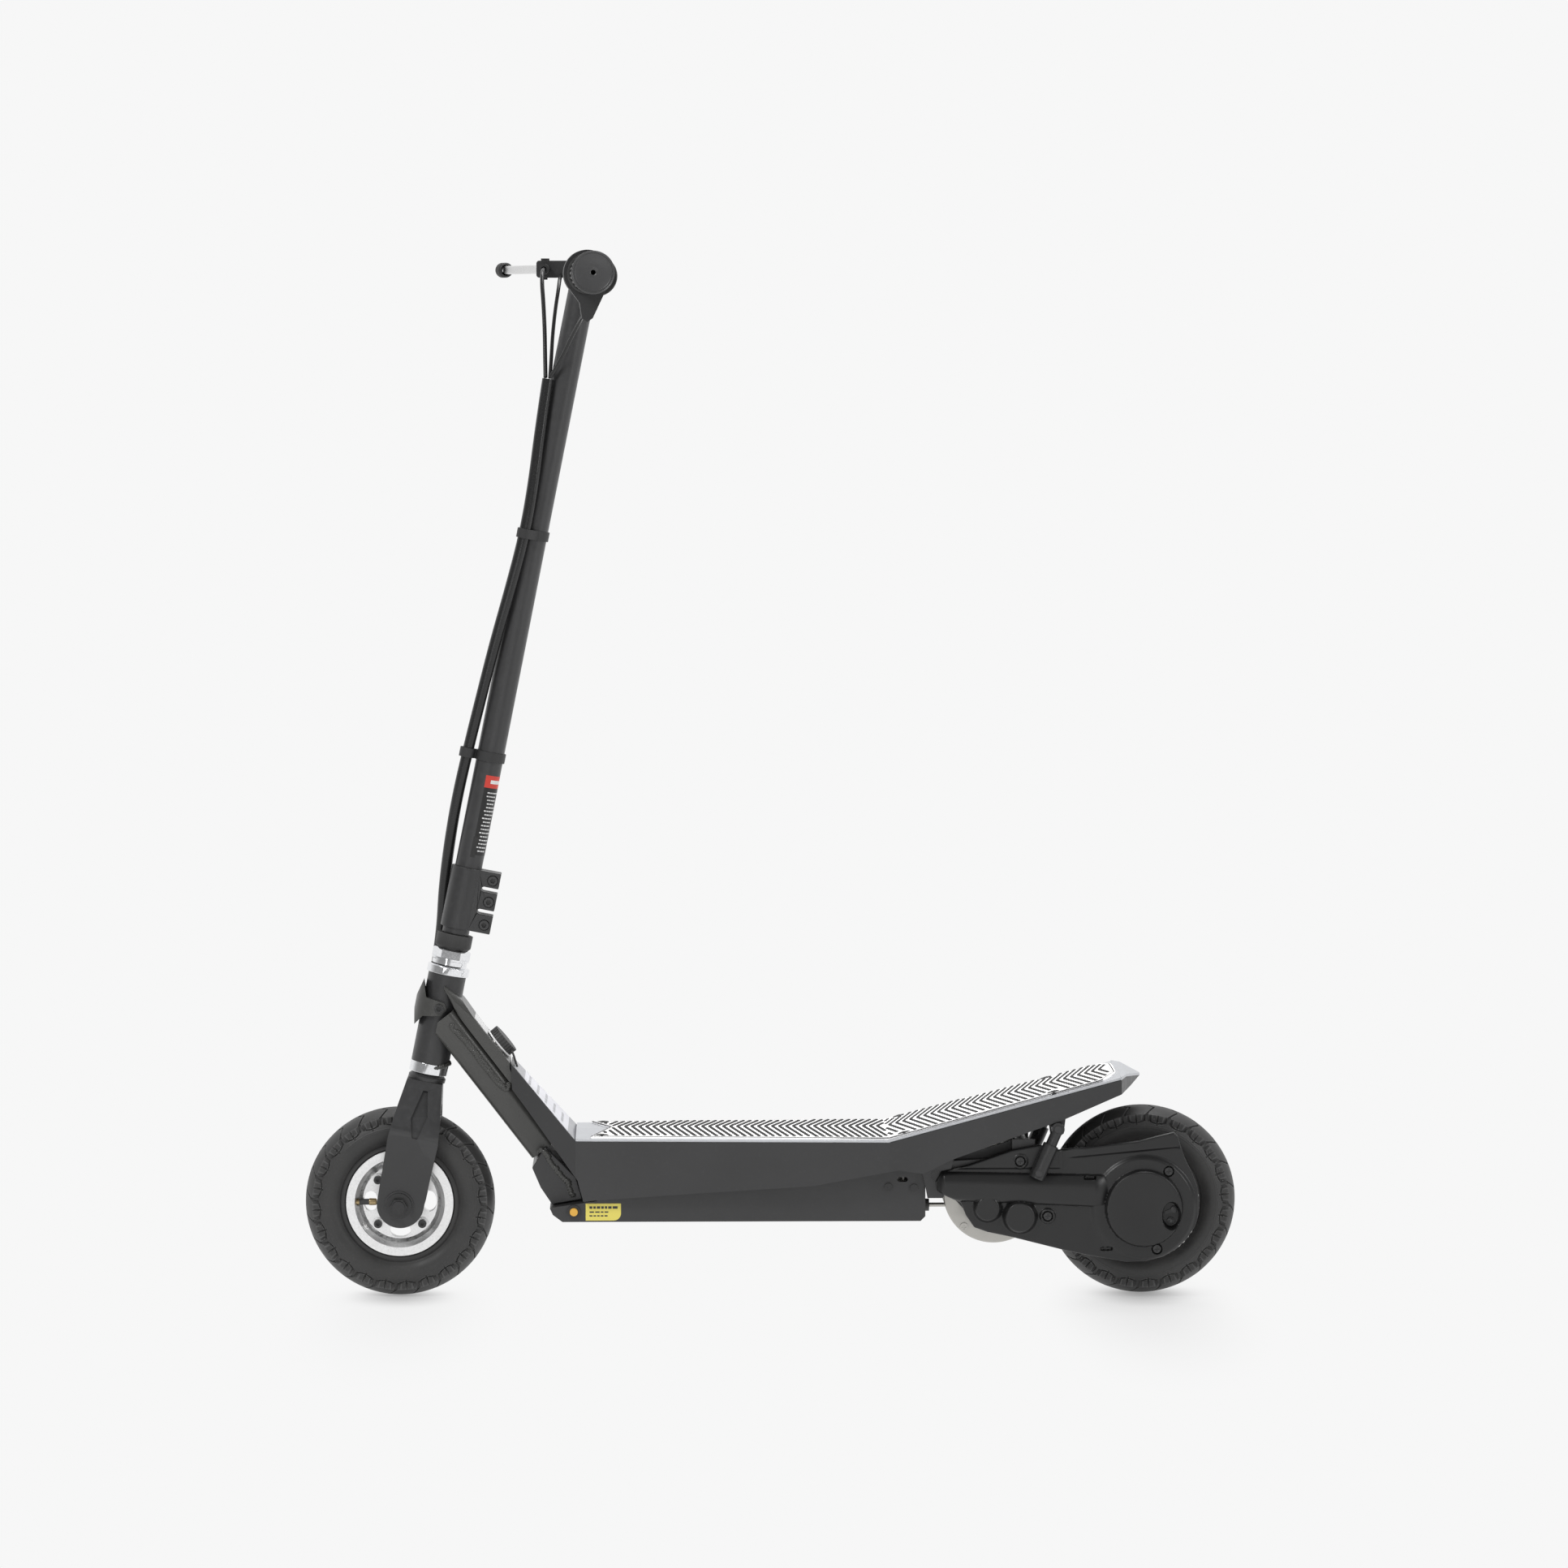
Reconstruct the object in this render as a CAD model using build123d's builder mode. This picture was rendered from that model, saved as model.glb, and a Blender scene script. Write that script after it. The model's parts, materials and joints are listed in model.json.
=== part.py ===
from build123d import *

import os
from math import atan2, cos, hypot, pi, radians, sin, tan

# Electric kick scooter. Millimetres, +Z up, front towards -X.
# Origin: on the ground, halfway between the axles, on the centre plane.
# "near" is the -Y side (throttle and chain), "far" is the +Y side (brake).

os.makedirs("parts", exist_ok=True)

# ---------------------------------------------------------------- driving dimensions
WHEELBASE = 784.0
TYRE_R = 100.0  # 200 x 50 pneumatic tyre
TYRE_HALF = 24.8
RIM_SEAT_R = 50.0
RIM_LIP_R = 56.5
BOLT_CIRCLE_R = 33.0
VALVE_Y, VALVE_R = -9.5, 3.2
AXLE_R = 5.0
FIT = 0.05  # radial running clearance

CASTER = radians(11.3)  # steering axis leans back from the vertical
FORK_OFFSET = 2.5  # steering axis passes this far behind the front axle
BAR_Z = 1076.4
BAR_R = 11.1
BAR_HALF = 230.0
BAR_STRAIGHT = 35.0
BAR_SWEEP = radians(3.1)
GRIP_END_R = 22.0
LEVER_PIVOT = (47.0, 63.0)  # forward of the bar, out along the bar
PERCH_UP = 6.0
ADJUSTER_AHEAD = 46.0

STEM_R = 14.25
STEERER_R = 12.5
HEAD_R = 20.0
HEAD_LOW, HEAD_HIGH = 150.0, 246.0  # along the steering axis, from the axle's height
CLAMP_LOW, CLAMP_HIGH = 296.0, 361.0
CLAMP_R = 17.3
EAR_BOLTS = (304.9, 329.5, 352.5)
FORK_FACE, FORK_INNER = 40.0, 33.0  # outer and inner faces of the blades
CROWN_S = 131.0
LOOM_R, CABLE_R, WIRE_R = 6.0, 2.2, 2.0

TUBE_SLOPE = radians(52.5)
TUBE_HALF = 30.0
TUBE_DEPTH = 31.0
TUBE_FOOT = (-251.0, 146.0)

DECK_Z = 171.0
FOLD_X = -206.0
KINK_X = 122.0
TAIL_X = 366.0
TAIL_BEND_X = 372.0
TAIL_TIP_X, TAIL_TIP_Z = 390.0, 231.6
TAIL_ANGLE = radians(14.7)
NECK_X, NECK_Z = -274.0, 249.0
SHEET = 3.0
NECK_HALF, FOLD_HALF, KINK_HALF, TAIL_HALF = 33.0, 68.0, 85.0, 73.0
CROWN = 3.5
RIDGE_HALF = 95.0
PLATE = 1.5
PAD = 1.6
PAD_INSET = 9.0
SCREW_INSET = 17.0
SCREW_PLACES = ((-178.0, 0), (139.0, 1), (296.0, 1))  # x, and whether it is on the tail

TRAY_HALF = 60.0
TRAY_LOW = 85.0
TRAY_REAR = 161.0
TRAY_BOLTS = ((122.0, 121.0), (149.0, 120.0))
RESET = (-208.0, 96.0)

PIVOT_X, PIVOT_Z = 172.0, 134.0
ARM_IN, ARM_OUT = 55.0, 60.0
BRAKE_STUD = (336.0, 97.0)
MOTOR_X, MOTOR_Z, MOTOR_R = 234.0, 111.0, 53.0
CHAIN_Y = -44.0
CHAIN_PITCH = 6.35
WHEEL_TEETH, MOTOR_TEETH = 55, 11
GUARD_C, GUARD_R = (386.0, 108.0), 67.0
GUARD_SCREWS = ((416.0, 138.0), (404.0, 56.0), (289.0, 91.0), (260.0, 149.0))
SHOCK_Y = 76.6
SLEEVE_R, SHOCK_ROD_R = 8.3, 5.8
SHOCK_LOW = (279.0, 138.0)
SHOCK_TOP = (299.0, 184.0)

# ---------------------------------------------------------------- derived frames
FRONT_X, REAR_X = -WHEELBASE / 2, WHEELBASE / 2
AXLE_Z = TYRE_R
STEER_FOOT = (FRONT_X + FORK_OFFSET, 0, AXLE_Z)
STEER_DIR = (sin(CASTER), 0, cos(CASTER))
STEER = Plane(origin=STEER_FOOT, x_dir=(cos(CASTER), 0, -sin(CASTER)), z_dir=STEER_DIR)
STEER_SIDE = Plane(origin=STEER_FOOT, x_dir=(cos(CASTER), 0, -sin(CASTER)), z_dir=(0, -1, 0))
STEER_AXIS = Axis(STEER_FOOT, STEER_DIR)
BAR_X = STEER_FOOT[0] + (BAR_Z - AXLE_Z) * tan(CASTER)
BAR_LENGTH = (BAR_HALF - BAR_STRAIGHT) / cos(BAR_SWEEP)
NEAR_BAR = Plane(
    origin=(BAR_X, -BAR_STRAIGHT, BAR_Z),
    x_dir=(cos(BAR_SWEEP), sin(BAR_SWEEP), 0),
    z_dir=(sin(BAR_SWEEP), -cos(BAR_SWEEP), 0),
)
FAR_BAR = Plane(
    origin=(BAR_X, BAR_STRAIGHT, BAR_Z),
    x_dir=(-cos(BAR_SWEEP), sin(BAR_SWEEP), 0),
    z_dir=(sin(BAR_SWEEP), cos(BAR_SWEEP), 0),
)


def tail_z(x):
    """Height of the deck frame's top on the rising tail."""
    return DECK_Z + (x - KINK_X) * tan(TAIL_ANGLE)


def finish(piece, name):
    """Label a finished piece and write it to its own file."""
    piece.part.label = name
    export_step(piece.part, f"parts/{name}.step")


# ---------------------------------------------------------------- shared shapes
def together(*parts):
    """Several pieces as the separate solids of one node."""
    with BuildPart() as group:
        for part in parts:
            add(part.part)
    return group


def bar_y(x, z, radius, near, far, bore=0.0):
    """Round bar along Y between two depths, drilled through if a bore is given."""
    with BuildPart() as bar:
        with BuildSketch(Plane.XZ.offset(-far)):
            with Locations((x, z)):
                Circle(radius)
                if bore:
                    Circle(bore, mode=Mode.SUBTRACT)
        extrude(amount=far - near)
    return bar.part


def slab_y(points, near, far):
    """Flat piece with a straight-sided outline in X and Z, between two depths."""
    with BuildPart() as slab:
        with BuildSketch(Plane.XZ.offset(-far)):
            with BuildLine():
                Polyline(*points, close=True)
            make_face()
        extrude(amount=far - near)
    return slab.part


def collar(plane, radius, low, high, bore=0.0):
    """Ring or rod around a plane's normal, from one height to another."""
    with BuildPart() as ring:
        with BuildSketch(plane.offset(low)):
            Circle(radius)
            if bore:
                Circle(bore, mode=Mode.SUBTRACT)
        extrude(amount=high - low)
    return ring.part


def turned(plane, axis, outline):
    """Solid of revolution with a straight-sided outline."""
    with BuildPart() as solid:
        with BuildSketch(plane):
            with BuildLine():
                Polyline(*outline, close=True)
            make_face()
        revolve(axis=axis)
    return solid.part


def socket_bolt(x, z, head_y, end_y, radius, head_r, head_h):
    """Socket-head bolt along Y whose head is at head_y and whose shank ends at end_y."""
    way = 1 if end_y > head_y else -1
    under = head_y + way * head_h
    with BuildPart() as bolt:
        add(bar_y(x, z, head_r, min(head_y, under), max(head_y, under)))
        add(bar_y(x, z, radius, min(under, end_y), max(under, end_y)))
        with BuildSketch(Plane.XZ.offset(-head_y)):
            with Locations((x, z)):
                RegularPolygon(radius=head_r * 0.5, side_count=6)
        extrude(amount=-way * head_h * 0.6, mode=Mode.SUBTRACT)
    return bolt.part


# ---------------------------------------------------------------- wheels
def wheel_plane(x):
    return Plane(origin=(x, 0, AXLE_Z), x_dir=(0, 1, 0), z_dir=(1, 0, 0))


def wheel_axis(x):
    return Axis((x, 0, AXLE_Z), (0, 1, 0))


def valve_plane(x):
    """Plane across the valve stem, whose normal runs from the axle out to the tube."""
    return Plane(origin=(x, VALVE_Y, AXLE_Z), x_dir=(0, 1, 0), z_dir=(-1, 0, 0))


def make_tyre(x):
    """Pneumatic tyre: a C-shaped carcass open towards the rim."""
    bead = (15.8, RIM_SEAT_R + 0.1)
    flange = (15.9, RIM_LIP_R + 0.5)
    hip = (18.4, 92.5)
    with BuildPart() as tyre:
        with BuildSketch(wheel_plane(x)):
            with BuildLine():
                Line(bead, flange)
                ThreePointArc(flange, (TYRE_HALF, 77), hip)
                ThreePointArc(hip, (0, TYRE_R), (-hip[0], hip[1]))
                ThreePointArc((-hip[0], hip[1]), (-TYRE_HALF, 77), (-flange[0], flange[1]))
                Line((-flange[0], flange[1]), (-bead[0], bead[1]))
                Line((-bead[0], bead[1]), (-8, bead[1]))
                ThreePointArc((-8, bead[1]), (-18.3, 75), (-12, 89))
                ThreePointArc((-12, 89), (0, 94), (12, 89))
                ThreePointArc((12, 89), (18.3, 75), (8, bead[1]))
                Line((8, bead[1]), bead)
            make_face()
        revolve(axis=wheel_axis(x))
        with BuildSketch(valve_plane(x).offset(RIM_SEAT_R - 6)):
            Circle(VALVE_R + 0.2)
        extrude(amount=16, mode=Mode.SUBTRACT)
    return tyre


def make_inner_tube(x):
    """Inflated inner tube with its valve stem, which points in towards the hub."""
    mid_r, tube_r, wall = 73.0, 17.5, 1.4
    stem_tip = 25.0
    with BuildPart() as tube:
        with BuildSketch(wheel_plane(x)):
            with Locations((0, mid_r)):
                Circle(tube_r)
        revolve(axis=wheel_axis(x))
        with BuildSketch(valve_plane(x).offset(stem_tip)):
            Circle(VALVE_R)
        extrude(amount=mid_r - tube_r - stem_tip + 4)
        with BuildSketch(wheel_plane(x)):
            with Locations((0, mid_r)):
                Circle(tube_r - wall)
        revolve(axis=wheel_axis(x), mode=Mode.SUBTRACT)
        with BuildSketch(valve_plane(x).offset(stem_tip)):
            Circle(1.2)
        extrude(amount=mid_r - tube_r - stem_tip + 8, mode=Mode.SUBTRACT)
    return tube


def make_rim_half(x, side):
    """One pressed half of the split rim: flange ring, dished web, bearing hub and bolt bosses."""
    outline = [
        (0.05, RIM_SEAT_R),
        (16.1, RIM_SEAT_R),
        (16.1, RIM_LIP_R),
        (19, RIM_LIP_R),
        (19, 47.5),
        (13, 46),
        (8, 43.5),
        (6, 39.5),
        (6, 17.5),
        (20, 17.5),
        (20, 13.05),
        (12, 13.05),
        (12, 8),
        (0.05, 8),
    ]
    with BuildPart() as rim:
        add(turned(wheel_plane(x), wheel_axis(x), [(side * y, r) for y, r in outline]))
        face = Plane.XZ.offset(-side * 9)
        with BuildSketch(face):
            with Locations((x, AXLE_Z)):
                with PolarLocations(BOLT_CIRCLE_R, 4, start_angle=45):
                    Circle(6)
        extrude(amount=side * 4)
        with BuildSketch(face):
            with Locations((x, AXLE_Z)):
                with PolarLocations(BOLT_CIRCLE_R, 4, start_angle=45):
                    Circle(2.6)
                with PolarLocations(31, 4):
                    Ellipse(7.5, 11)
        extrude(amount=side * 12, mode=Mode.SUBTRACT)
        with BuildSketch(valve_plane(x).offset(36)):
            Circle(VALVE_R + 0.8)
        extrude(amount=16, mode=Mode.SUBTRACT)
    return rim


def make_rim(x):
    """Both halves of the split rim."""
    with BuildPart() as rim:
        add(make_rim_half(x, -1).part)
        add(make_rim_half(x, 1).part)
    return rim


def make_rim_bolts(x):
    """Four bolts that clamp the rim halves together, each with its nut."""
    with BuildPart() as bolts:
        for turn in range(4):
            angle = radians(45 + 90 * turn)
            bx, bz = x + BOLT_CIRCLE_R * cos(angle), AXLE_Z + BOLT_CIRCLE_R * sin(angle)
            add(socket_bolt(bx, bz, -13.5, 12.5, 2.5, 4.4, 4.5))
            with BuildSketch(Plane.XZ.offset(-13)):
                with Locations((bx, bz)):
                    RegularPolygon(radius=4.6, side_count=6)
            extrude(amount=4)
    return bolts


def make_bearings(x):
    """Pair of deep-groove bearings pressed into the rim halves."""
    with BuildPart() as bearings:
        for low, high in ((-20, -12), (12, 20)):
            add(bar_y(x, AXLE_Z, 13.0, low, high, AXLE_R + FIT))
    return bearings


def make_wheel(x, name):
    finish(make_tyre(x), f"{name}_tyre")
    finish(make_inner_tube(x), f"{name}_inner_tube")
    finish(make_rim(x), f"{name}_rim_halves")
    finish(make_rim_bolts(x), f"{name}_rim_bolts")
    finish(make_bearings(x), f"{name}_wheel_bearings")


# ---------------------------------------------------------------- fork and front axle
def fork_arch(outer_half, crown_half, top, inset):
    """Front view of the fork, a tapered arch, as a solid as deep as the blades are wide."""
    front = Plane(origin=STEER_FOOT, x_dir=(0, 1, 0), z_dir=STEER.x_dir)
    with BuildPart() as arch:
        with BuildSketch(front.offset(-45)):
            with BuildLine():
                Polyline(
                    (-outer_half, -40),
                    (-outer_half, 78 - inset),
                    (-crown_half, top),
                    (crown_half, top),
                    (outer_half, 78 - inset),
                    (outer_half, -40),
                    close=True,
                )
            make_face()
            fillet(vertices().group_by(Axis.Y)[1], radius=30)
        extrude(amount=90)
    return arch.part


def make_fork():
    """Pressed fork: crown, two broad blades with a coffin-shaped dent, and the steerer tube."""
    blade = [
        (-20, CROWN_S),
        (-26, 90),
        (-28, 68),
        (-27, 40),
        (-26, 0),
    ]
    with BuildPart() as fork:
        add(fork_arch(FORK_FACE, 20, CROWN_S, 0))
        with BuildSketch(STEER_SIDE.offset(-60)):
            with BuildLine():
                rear = [(-u - 2.5, s) for u, s in reversed(blade)]
                Polyline(*blade)
                ThreePointArc(blade[-1], (-FORK_OFFSET, -24), rear[0])
                Polyline(*rear)
                Line(rear[-1], blade[0])
            make_face()
        extrude(amount=120, mode=Mode.INTERSECT)
        with BuildSketch(Plane(origin=STEER_FOOT, x_dir=(0, 1, 0), z_dir=STEER.x_dir).offset(-45)):
            with BuildLine():
                Line((-FORK_INNER, -50), (-FORK_INNER, 76))
                ThreePointArc((-FORK_INNER, 76), (0, 109), (FORK_INNER, 76))
                Line((FORK_INNER, 76), (FORK_INNER, -50))
                Line((FORK_INNER, -50), (-FORK_INNER, -50))
            make_face()
        extrude(amount=90, mode=Mode.SUBTRACT)
        add(fork_dents(), mode=Mode.SUBTRACT)
        race = [(0, CROWN_S), (19.5, CROWN_S), (19.8, 135), (17, 138), (0, 138)]
        add(turned(STEER_SIDE, STEER_AXIS, race))
        add(collar(STEER, STEERER_R, CROWN_S, 350))
        add(bar_y(FRONT_X, AXLE_Z, 15.5, -FORK_FACE - 2, -FORK_FACE + 1))
        add(bar_y(FRONT_X, AXLE_Z, 15.5, FORK_FACE - 1, FORK_FACE + 2))
        add(bar_y(FRONT_X, AXLE_Z, AXLE_R + FIT, -60, 60), mode=Mode.SUBTRACT)
    return fork


def fork_dents():
    """Coffin-shaped dents, 2.5 mm deep, in the outer faces of both blades."""
    with BuildPart() as dents:
        with BuildSketch(STEER_SIDE.offset(-60)):
            with BuildLine():
                Polyline((-1, 122), (4, 122), (9, 96), (3, 72), (-3, 72), (-8, 92), close=True)
            make_face()
            fillet(vertices(), radius=1.5)
        extrude(amount=120)
        add(fork_arch(FORK_FACE - 2.5, 17.5, CROWN_S - 2, 0), mode=Mode.SUBTRACT)
    return dents.part


def make_axle(x, inner, outer, end):
    """Axle with the spacer tubes that hold the wheel's bearings off the dropouts."""
    with BuildPart() as axle:
        add(bar_y(x, AXLE_Z, AXLE_R, -end, end))
        add(bar_y(x, AXLE_Z, 7.5, -outer, -inner, AXLE_R + FIT))
        add(bar_y(x, AXLE_Z, 7.5, inner, outer, AXLE_R + FIT))
    return axle


def make_axle_nuts(x, face, flange_r, height):
    """Flanged nuts on both ends of an axle, each a washer, a hexagon and a domed cap."""
    with BuildPart() as nuts:
        for side in (-1, 1):
            rim, cap = face + 0.3 * height, face + height
            ends = sorted((side * face, side * rim))
            add(bar_y(x, AXLE_Z, flange_r, ends[0], ends[1]))
            with BuildSketch(Plane.XZ.offset(-side * rim)):
                with Locations((x, AXLE_Z)):
                    RegularPolygon(radius=9.2, side_count=6)
            extrude(amount=-side * (cap - rim))
            ends = sorted((side * cap, side * (cap + 0.25 * height)))
            add(bar_y(x, AXLE_Z, 6.5, ends[0], ends[1]))
        add(bar_y(x, AXLE_Z, AXLE_R + FIT, -cap, cap), mode=Mode.SUBTRACT)
    return nuts


# ---------------------------------------------------------------- headset
def make_headset_cups():
    """Bearing cups pressed into both ends of the head tube."""
    bore = STEERER_R + 0.5
    lower_cup = [(bore, 139), (20.4, 139), (20.4, 150), (15.5, 150), (15.5, 160), (bore, 160)]
    upper_cup = [(bore, 236), (15.5, 236), (15.5, 246), (22.3, 246), (22.3, 254), (20, 255), (bore, 255)]
    with BuildPart() as cups:
        add(turned(STEER_SIDE, STEER_AXIS, lower_cup))
        add(turned(STEER_SIDE, STEER_AXIS, upper_cup))
    return cups


def make_headset_nuts():
    """Threaded cone, lock washer and hexagonal locknut on the steerer."""
    with BuildPart() as nuts:
        add(collar(STEER, 18.4, 256, 260.5, STEERER_R))
        add(collar(STEER, 20, 261.2, 263.2, STEERER_R))
        add(collar(STEER, 15, 260.5, 261.2, STEERER_R))
        with BuildSketch(STEER.offset(263.2)):
            RegularPolygon(radius=20, side_count=6)
            Circle(STEERER_R, mode=Mode.SUBTRACT)
        extrude(amount=9.3)
        chamfer(nuts.faces().sort_by(Axis.Z)[-1].outer_wire().edges(), length=1.2)
    return nuts


def make_dust_ring():
    """Black ring that covers the threads above the locknut."""
    outline = [(STEERER_R, 272.6), (16, 272.6), (19, 276), (19, 289), (STEERER_R, 289)]
    with BuildPart() as ring:
        add(turned(STEER_SIDE, STEER_AXIS, outline))
    return ring


# ---------------------------------------------------------------- stem and clamp
def make_stem_tube():
    with BuildPart() as stem:
        top = (BAR_Z - AXLE_Z) / cos(CASTER)
        add(collar(STEER, STEM_R, 290, top, STEERER_R + FIT))
        add(bar_y(BAR_X, BAR_Z, BAR_R + FIT, -30, 30), mode=Mode.SUBTRACT)
        with BuildSketch(Plane(origin=STEER_FOOT, x_dir=(0, 1, 0), z_dir=STEER.x_dir)):
            with Locations((0, 330)):
                Rectangle(3, 90)
        extrude(amount=20, mode=Mode.SUBTRACT)
    return stem


def make_stem_clamp():
    """Slit collar with two tails behind it, each cut into three ears."""
    with BuildPart() as clamp:
        with BuildSketch(STEER.offset(CLAMP_LOW)):
            Circle(CLAMP_R)
            with Locations((21, 0)):
                Rectangle(29, 26)
            Circle(STEM_R + FIT, mode=Mode.SUBTRACT)
            with Locations((25, 0)):
                Rectangle(40, 3, mode=Mode.SUBTRACT)
        extrude(amount=CLAMP_HIGH - CLAMP_LOW)
        with BuildSketch(STEER_SIDE.offset(-30)):
            with Locations((32, 318.2), (32, 342)):
                SlotOverall(28, 5.4)
        extrude(amount=60, mode=Mode.SUBTRACT)
        with BuildSketch(STEER_SIDE.offset(-30)):
            with Locations(*[(28, s) for s in EAR_BOLTS]):
                Circle(3 + FIT)
        extrude(amount=60, mode=Mode.SUBTRACT)
        with BuildSketch(STEER_SIDE.offset(10.5)):
            with Locations(*[(28, s) for s in EAR_BOLTS]):
                Circle(5.3)
        extrude(amount=10, mode=Mode.SUBTRACT)
    return clamp


def make_clamp_bolts():
    """Three socket-head bolts through the clamp's ears, with nuts on the far side."""
    with BuildPart() as bolts:
        with BuildSketch(STEER_SIDE.offset(-17)):
            with Locations(*[(28, s) for s in EAR_BOLTS]):
                Circle(3)
        extrude(amount=28)
        with BuildSketch(STEER_SIDE.offset(10.5)):
            with Locations(*[(28, s) for s in EAR_BOLTS]):
                Circle(5)
                RegularPolygon(radius=2.8, side_count=6, mode=Mode.SUBTRACT)
        extrude(amount=4)
        with BuildSketch(STEER_SIDE.offset(-17)):
            with Locations(*[(28, s) for s in EAR_BOLTS]):
                RegularPolygon(radius=5.6, side_count=6)
        extrude(amount=4)
    return bolts


# ---------------------------------------------------------------- handlebar and controls
def make_handlebar():
    """Bent steel tube with both ends swept back."""
    back = BAR_X + (BAR_HALF - BAR_STRAIGHT - 5) * tan(BAR_SWEEP)
    end = BAR_HALF - 5
    with BuildPart() as bar:
        with BuildLine():
            way = FilletPolyline(
                (back, -end, BAR_Z),
                (BAR_X, -BAR_STRAIGHT, BAR_Z),
                (BAR_X, BAR_STRAIGHT, BAR_Z),
                (back, end, BAR_Z),
                radius=120,
            )
        with BuildSketch(Plane(origin=way @ 0, z_dir=way % 0)):
            Circle(BAR_R)
            Circle(BAR_R - 1.6, mode=Mode.SUBTRACT)
        sweep()
    return bar


def make_throttle_housing():
    """Round housing on the bar whose tail narrows downwards to the lead's outlet."""
    with BuildPart() as housing:
        with BuildSketch(NEAR_BAR.offset(38)):
            Circle(24.5)
            with BuildLine():
                Polyline((-17, -18), (-8, -30), (-5.5, -46), (0, -50), (5.5, -46), (22, -11), close=True)
            make_face()
            Circle(BAR_R + FIT, mode=Mode.SUBTRACT)
        extrude(amount=24)
    return housing


def make_throttle_sleeve():
    """Ribbed sleeve that the rider twists, free on the bar."""
    with BuildPart() as sleeve:
        with BuildSketch(NEAR_BAR.offset(63)):
            Circle(17.5)
            with PolarLocations(17.5, 24):
                Rectangle(2.2, 2.2)
            Circle(BAR_R + FIT, mode=Mode.SUBTRACT)
        extrude(amount=52)
        add(collar(NEAR_BAR, 21, 63, 66, BAR_R + FIT))
    return sleeve


def make_grip(plane, start):
    """Moulded grip with raised bands and a broad end flange with a vent hole."""
    length = BAR_LENGTH
    with BuildPart() as grip:
        add(collar(plane, 16.5, start, length - 6, BAR_R + FIT))
        add(collar(plane, 18.5, start, start + 4, BAR_R + FIT))
        for band in range(int((length - start - 30) / 12)):
            low = start + 14 + band * 12
            add(collar(plane, 17.4, low, low + 5, BAR_R + FIT))
        add(collar(plane, GRIP_END_R, length - 6, length, 2.5))
        add(collar(plane, BAR_R + FIT, length - 10, length - 4.5), mode=Mode.SUBTRACT)
        rims = grip.edges().filter_by(GeomType.CIRCLE).filter_by(lambda e: abs(e.radius - GRIP_END_R) < 0.1)
        fillet(rims, radius=1.2)
    return grip


def make_brake_perch():
    """Clamp ring on the bar with a forward arm that forks around the lever."""
    forward, out = LEVER_PIVOT
    with BuildPart() as perch:
        with BuildSketch(FAR_BAR.offset(44)):
            Circle(15.5)
            with Locations((31, PERCH_UP)):
                RectangleRounded(48, 18, 3)
            with Locations((0, -16)):
                RectangleRounded(14, 10, 2)
            Circle(BAR_R + FIT, mode=Mode.SUBTRACT)
            with Locations((0, -16)):
                Rectangle(2.5, 14, mode=Mode.SUBTRACT)
        extrude(amount=15)
        with BuildSketch(FAR_BAR.offset(54)):
            with Locations((44, PERCH_UP)):
                RectangleRounded(22, 18, 3)
        extrude(amount=16)
        with BuildSketch(FAR_BAR.offset(53)):
            with Locations((46, PERCH_UP)):
                Rectangle(34, 9.4)
        extrude(amount=30, mode=Mode.SUBTRACT)
        up = Plane(
            origin=FAR_BAR.from_local_coords(Vector(forward, PERCH_UP - 20, out)),
            x_dir=(1, 0, 0),
            z_dir=(0, 0, 1),
        )
        add(collar(up, 2.5 + FIT, 0, 40), mode=Mode.SUBTRACT)
        barrel = FAR_BAR.offset(44)
        with BuildSketch(barrel):
            with Locations((ADJUSTER_AHEAD, PERCH_UP)):
                Circle(3.2)
        extrude(amount=12, mode=Mode.SUBTRACT)
        add(lever_pin())
    return perch


def make_cable_adjuster():
    """Knurled barrel adjuster screwed into the perch, drilled for the cable."""
    with BuildPart() as barrel:
        with BuildSketch(FAR_BAR.offset(28)):
            with Locations((ADJUSTER_AHEAD, PERCH_UP)):
                Circle(5.5)
        extrude(amount=16)
        with BuildSketch(FAR_BAR.offset(44)):
            with Locations((ADJUSTER_AHEAD, PERCH_UP)):
                Circle(3.1)
        extrude(amount=7)
        with BuildSketch(FAR_BAR.offset(28)):
            with Locations((ADJUSTER_AHEAD, PERCH_UP)):
                Circle(2.7)
        extrude(amount=9, mode=Mode.SUBTRACT)
    return barrel


def lever_plane(up):
    return Plane(
        origin=FAR_BAR.from_local_coords(Vector(0, PERCH_UP + up, 0)),
        x_dir=FAR_BAR.x_dir,
        z_dir=(0, 0, -1),
    )


def make_brake_lever():
    """Cast lever blade that curves forward and out, with a pivot eye and a cable horn."""
    forward, out = LEVER_PIVOT
    with BuildPart() as lever:
        with BuildSketch(lever_plane(4.5)):
            with BuildLine():
                Polyline(
                    (forward - 5, out - 5),
                    (forward + 7, out - 6),
                    (forward + 13, out + 12),
                    (forward + 36, out + 60),
                    (forward + 53, out + 100),
                    (forward + 45, out + 103),
                    (forward + 27, out + 64),
                    (forward + 4, out + 18),
                    (forward - 5, out + 5),
                    close=True,
                )
            make_face()
            fillet(vertices(), radius=3)
            with Locations((forward, out)):
                Circle(2.5 + FIT, mode=Mode.SUBTRACT)
        extrude(amount=9)
        fillet(lever.edges().filter_by(lambda e: e.length > 20), radius=2)
    return lever


def make_lever_tip():
    """Rubber ball on the lever's end."""
    forward, out = LEVER_PIVOT
    end = lever_plane(0).from_local_coords(Vector(forward + 53.5, out + 110, 0))
    with BuildPart() as tip:
        with Locations(end):
            Sphere(7.5)
    return tip


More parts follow.
